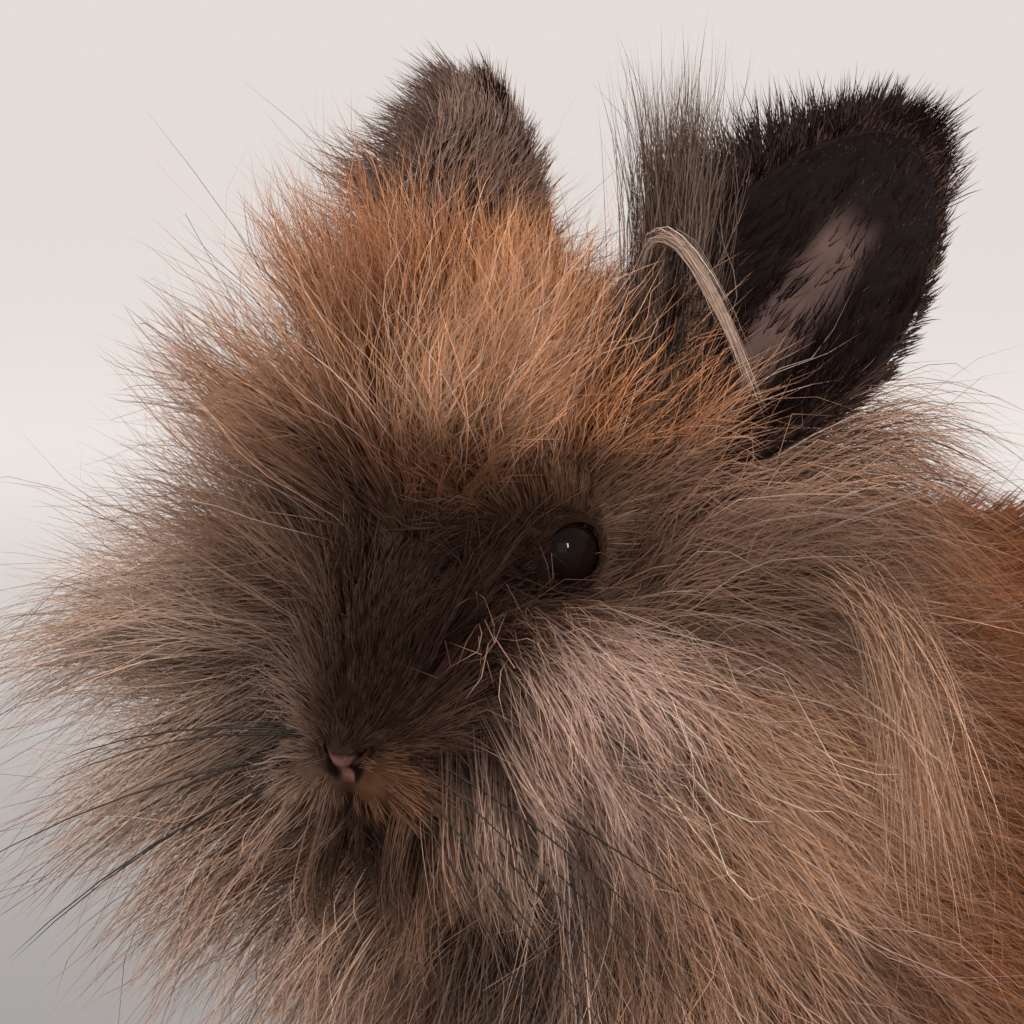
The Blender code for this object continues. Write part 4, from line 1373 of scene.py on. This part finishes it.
HORN = plain_material("claw_horn", (0.1, 0.07, 0.05), 0.45, bump=0.2)
HAIR = plain_material("whisker", (0.018, 0.013, 0.011), 0.4)
bm = bmesh.new()
for side in SIDES.values():
    for row in range(3):
        for column in range(3):
            root = Vector((side * (0.0105 + 0.001 * column), -0.0305 + 0.003 * column,
                           -0.035 - 0.003 * row))
            fall = 0.3 if side > 0 else 0.1
            heading = Vector((side, -0.38 + 0.24 * column, 0.1 - fall - 0.26 * row)).normalized()
            length = 0.054 + 0.006 * ((row * 3 + column * 5) % 4)
            path = []
            for k in range(7):
                t = k / 6
                bend = Vector((0, 0.01 * t * t, -0.016 * t * t))
                path.append(head_place() @ (root + heading * (length * t - 0.003) + bend))
            blade(bm, path, UP, [0.00052 * (1 - 0.75 * k / 6) for k in range(6)])
bmesh.ops.recalc_face_normals(bm, faces=bm.faces[:])
whiskers = from_bmesh("whiskers", bm)
whiskers.data.shade_smooth()
whiskers.data.materials.append(HAIR)
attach(whiskers, "root")

bm = bmesh.new()
for side in SIDES.values():
    for _, first, step, radii in TOES:
        for toe in range(TOE_COUNT):
            centre = Vector(first) + toe * Vector(step)
            root = Vector((side * centre.x, centre.y - radii[1] * 0.72, centre.z + radii[2] * 0.25))
            path = [root + Vector((0, -t * 0.007, -t * t * radii[2] * 0.75)) for t in (0, .3, .6, 1)]
            blade(bm, path, Vector((1, 0, 0)), (0.0022, 0.002, 0.0013))
bmesh.ops.recalc_face_normals(bm, faces=bm.faces[:])
claws = from_bmesh("claws", bm)
claws.data.shade_smooth()
claws.data.materials.append(HORN)
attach(claws, "root")

# Floor, light and camera

FLOOR = floor_material(FLOOR_SHADE, FAR_FLOOR)
bm = bmesh.new()
bmesh.ops.create_grid(bm, x_segments=1, y_segments=1, size=FLOOR_SIZE)
floor = from_bmesh("floor", bm)
floor.data.materials.append(FLOOR)

STUDIO_COLOUR = (0.97, 0.905, 0.865)
STUDIO_STRENGTH = 0.8
world = bpy.data.worlds.new("studio")
scene.world = world
world.use_nodes = True
sky = world.node_tree.nodes["Background"]
sky.inputs["Color"].default_value = (*STUDIO_COLOUR, 1)
sky.inputs["Strength"].default_value = STUDIO_STRENGTH


def lamp(name, place, target, size, power, colour=(1, 1, 1)):
    """A soft oblong lamp that faces a point."""
    data = bpy.data.lights.new(name, "AREA")
    data.shape = "RECTANGLE"
    data.size, data.size_y = size
    data.energy = power
    data.color = colour
    made = bpy.data.objects.new(name, data)
    scene.collection.objects.link(made)
    made.location = place
    away = Vector(place) - Vector(target)
    made.rotation_mode = "QUATERNION"
    made.rotation_quaternion = away.to_track_quat("Z", "Y")


lamp("key", (-0.85, -2.2, 1.1), (0, -0.08, 0.12), (0.8, 0.8), 26, (1.0, 0.96, 0.92))
lamp("fill", (2.4, -1.3, 0.6), (0, -0.05, 0.1), (1.1, 1.1), 6, (1.0, 0.97, 0.95))
lamp("rim", (0.6, 2.2, 1.3), (0, 0.0, 0.12), (1.2, 1.2), 8, (0.96, 0.98, 1.0))
lamp("window", (0.99, -0.3, 0.4), (0.02, -0.1, 0.152), (0.065, 0.18), 3.6)

az, el = CAMERA_AZIMUTH, CAMERA_ELEVATION
back = Vector((math.sin(az) * math.cos(el), -math.cos(az) * math.cos(el), math.sin(el)))
turn = (-back).to_track_quat("-Z", "Y")
right, above = turn @ Vector((1, 0, 0)), turn @ Vector((0, 1, 0))
across = (PICTURE_MIDDLE - NOSE_PIXEL[0]) * MM_A_PIXEL / 1000
up = (NOSE_PIXEL[1] - PICTURE_MIDDLE) * MM_A_PIXEL / 1000
camera_data = bpy.data.cameras.new("camera")
camera_data.lens = CAMERA_LENS
camera_data.sensor_width = CAMERA_SENSOR
camera = bpy.data.objects.new("camera", camera_data)
scene.collection.objects.link(camera)
aim = head_place() @ NOSE_AT + right * across + above * up
camera.location = aim + back * CAMERA_DISTANCE
camera.rotation_mode = "QUATERNION"
camera.rotation_quaternion = turn
scene.camera = camera
scene.view_settings.view_transform = "Standard"
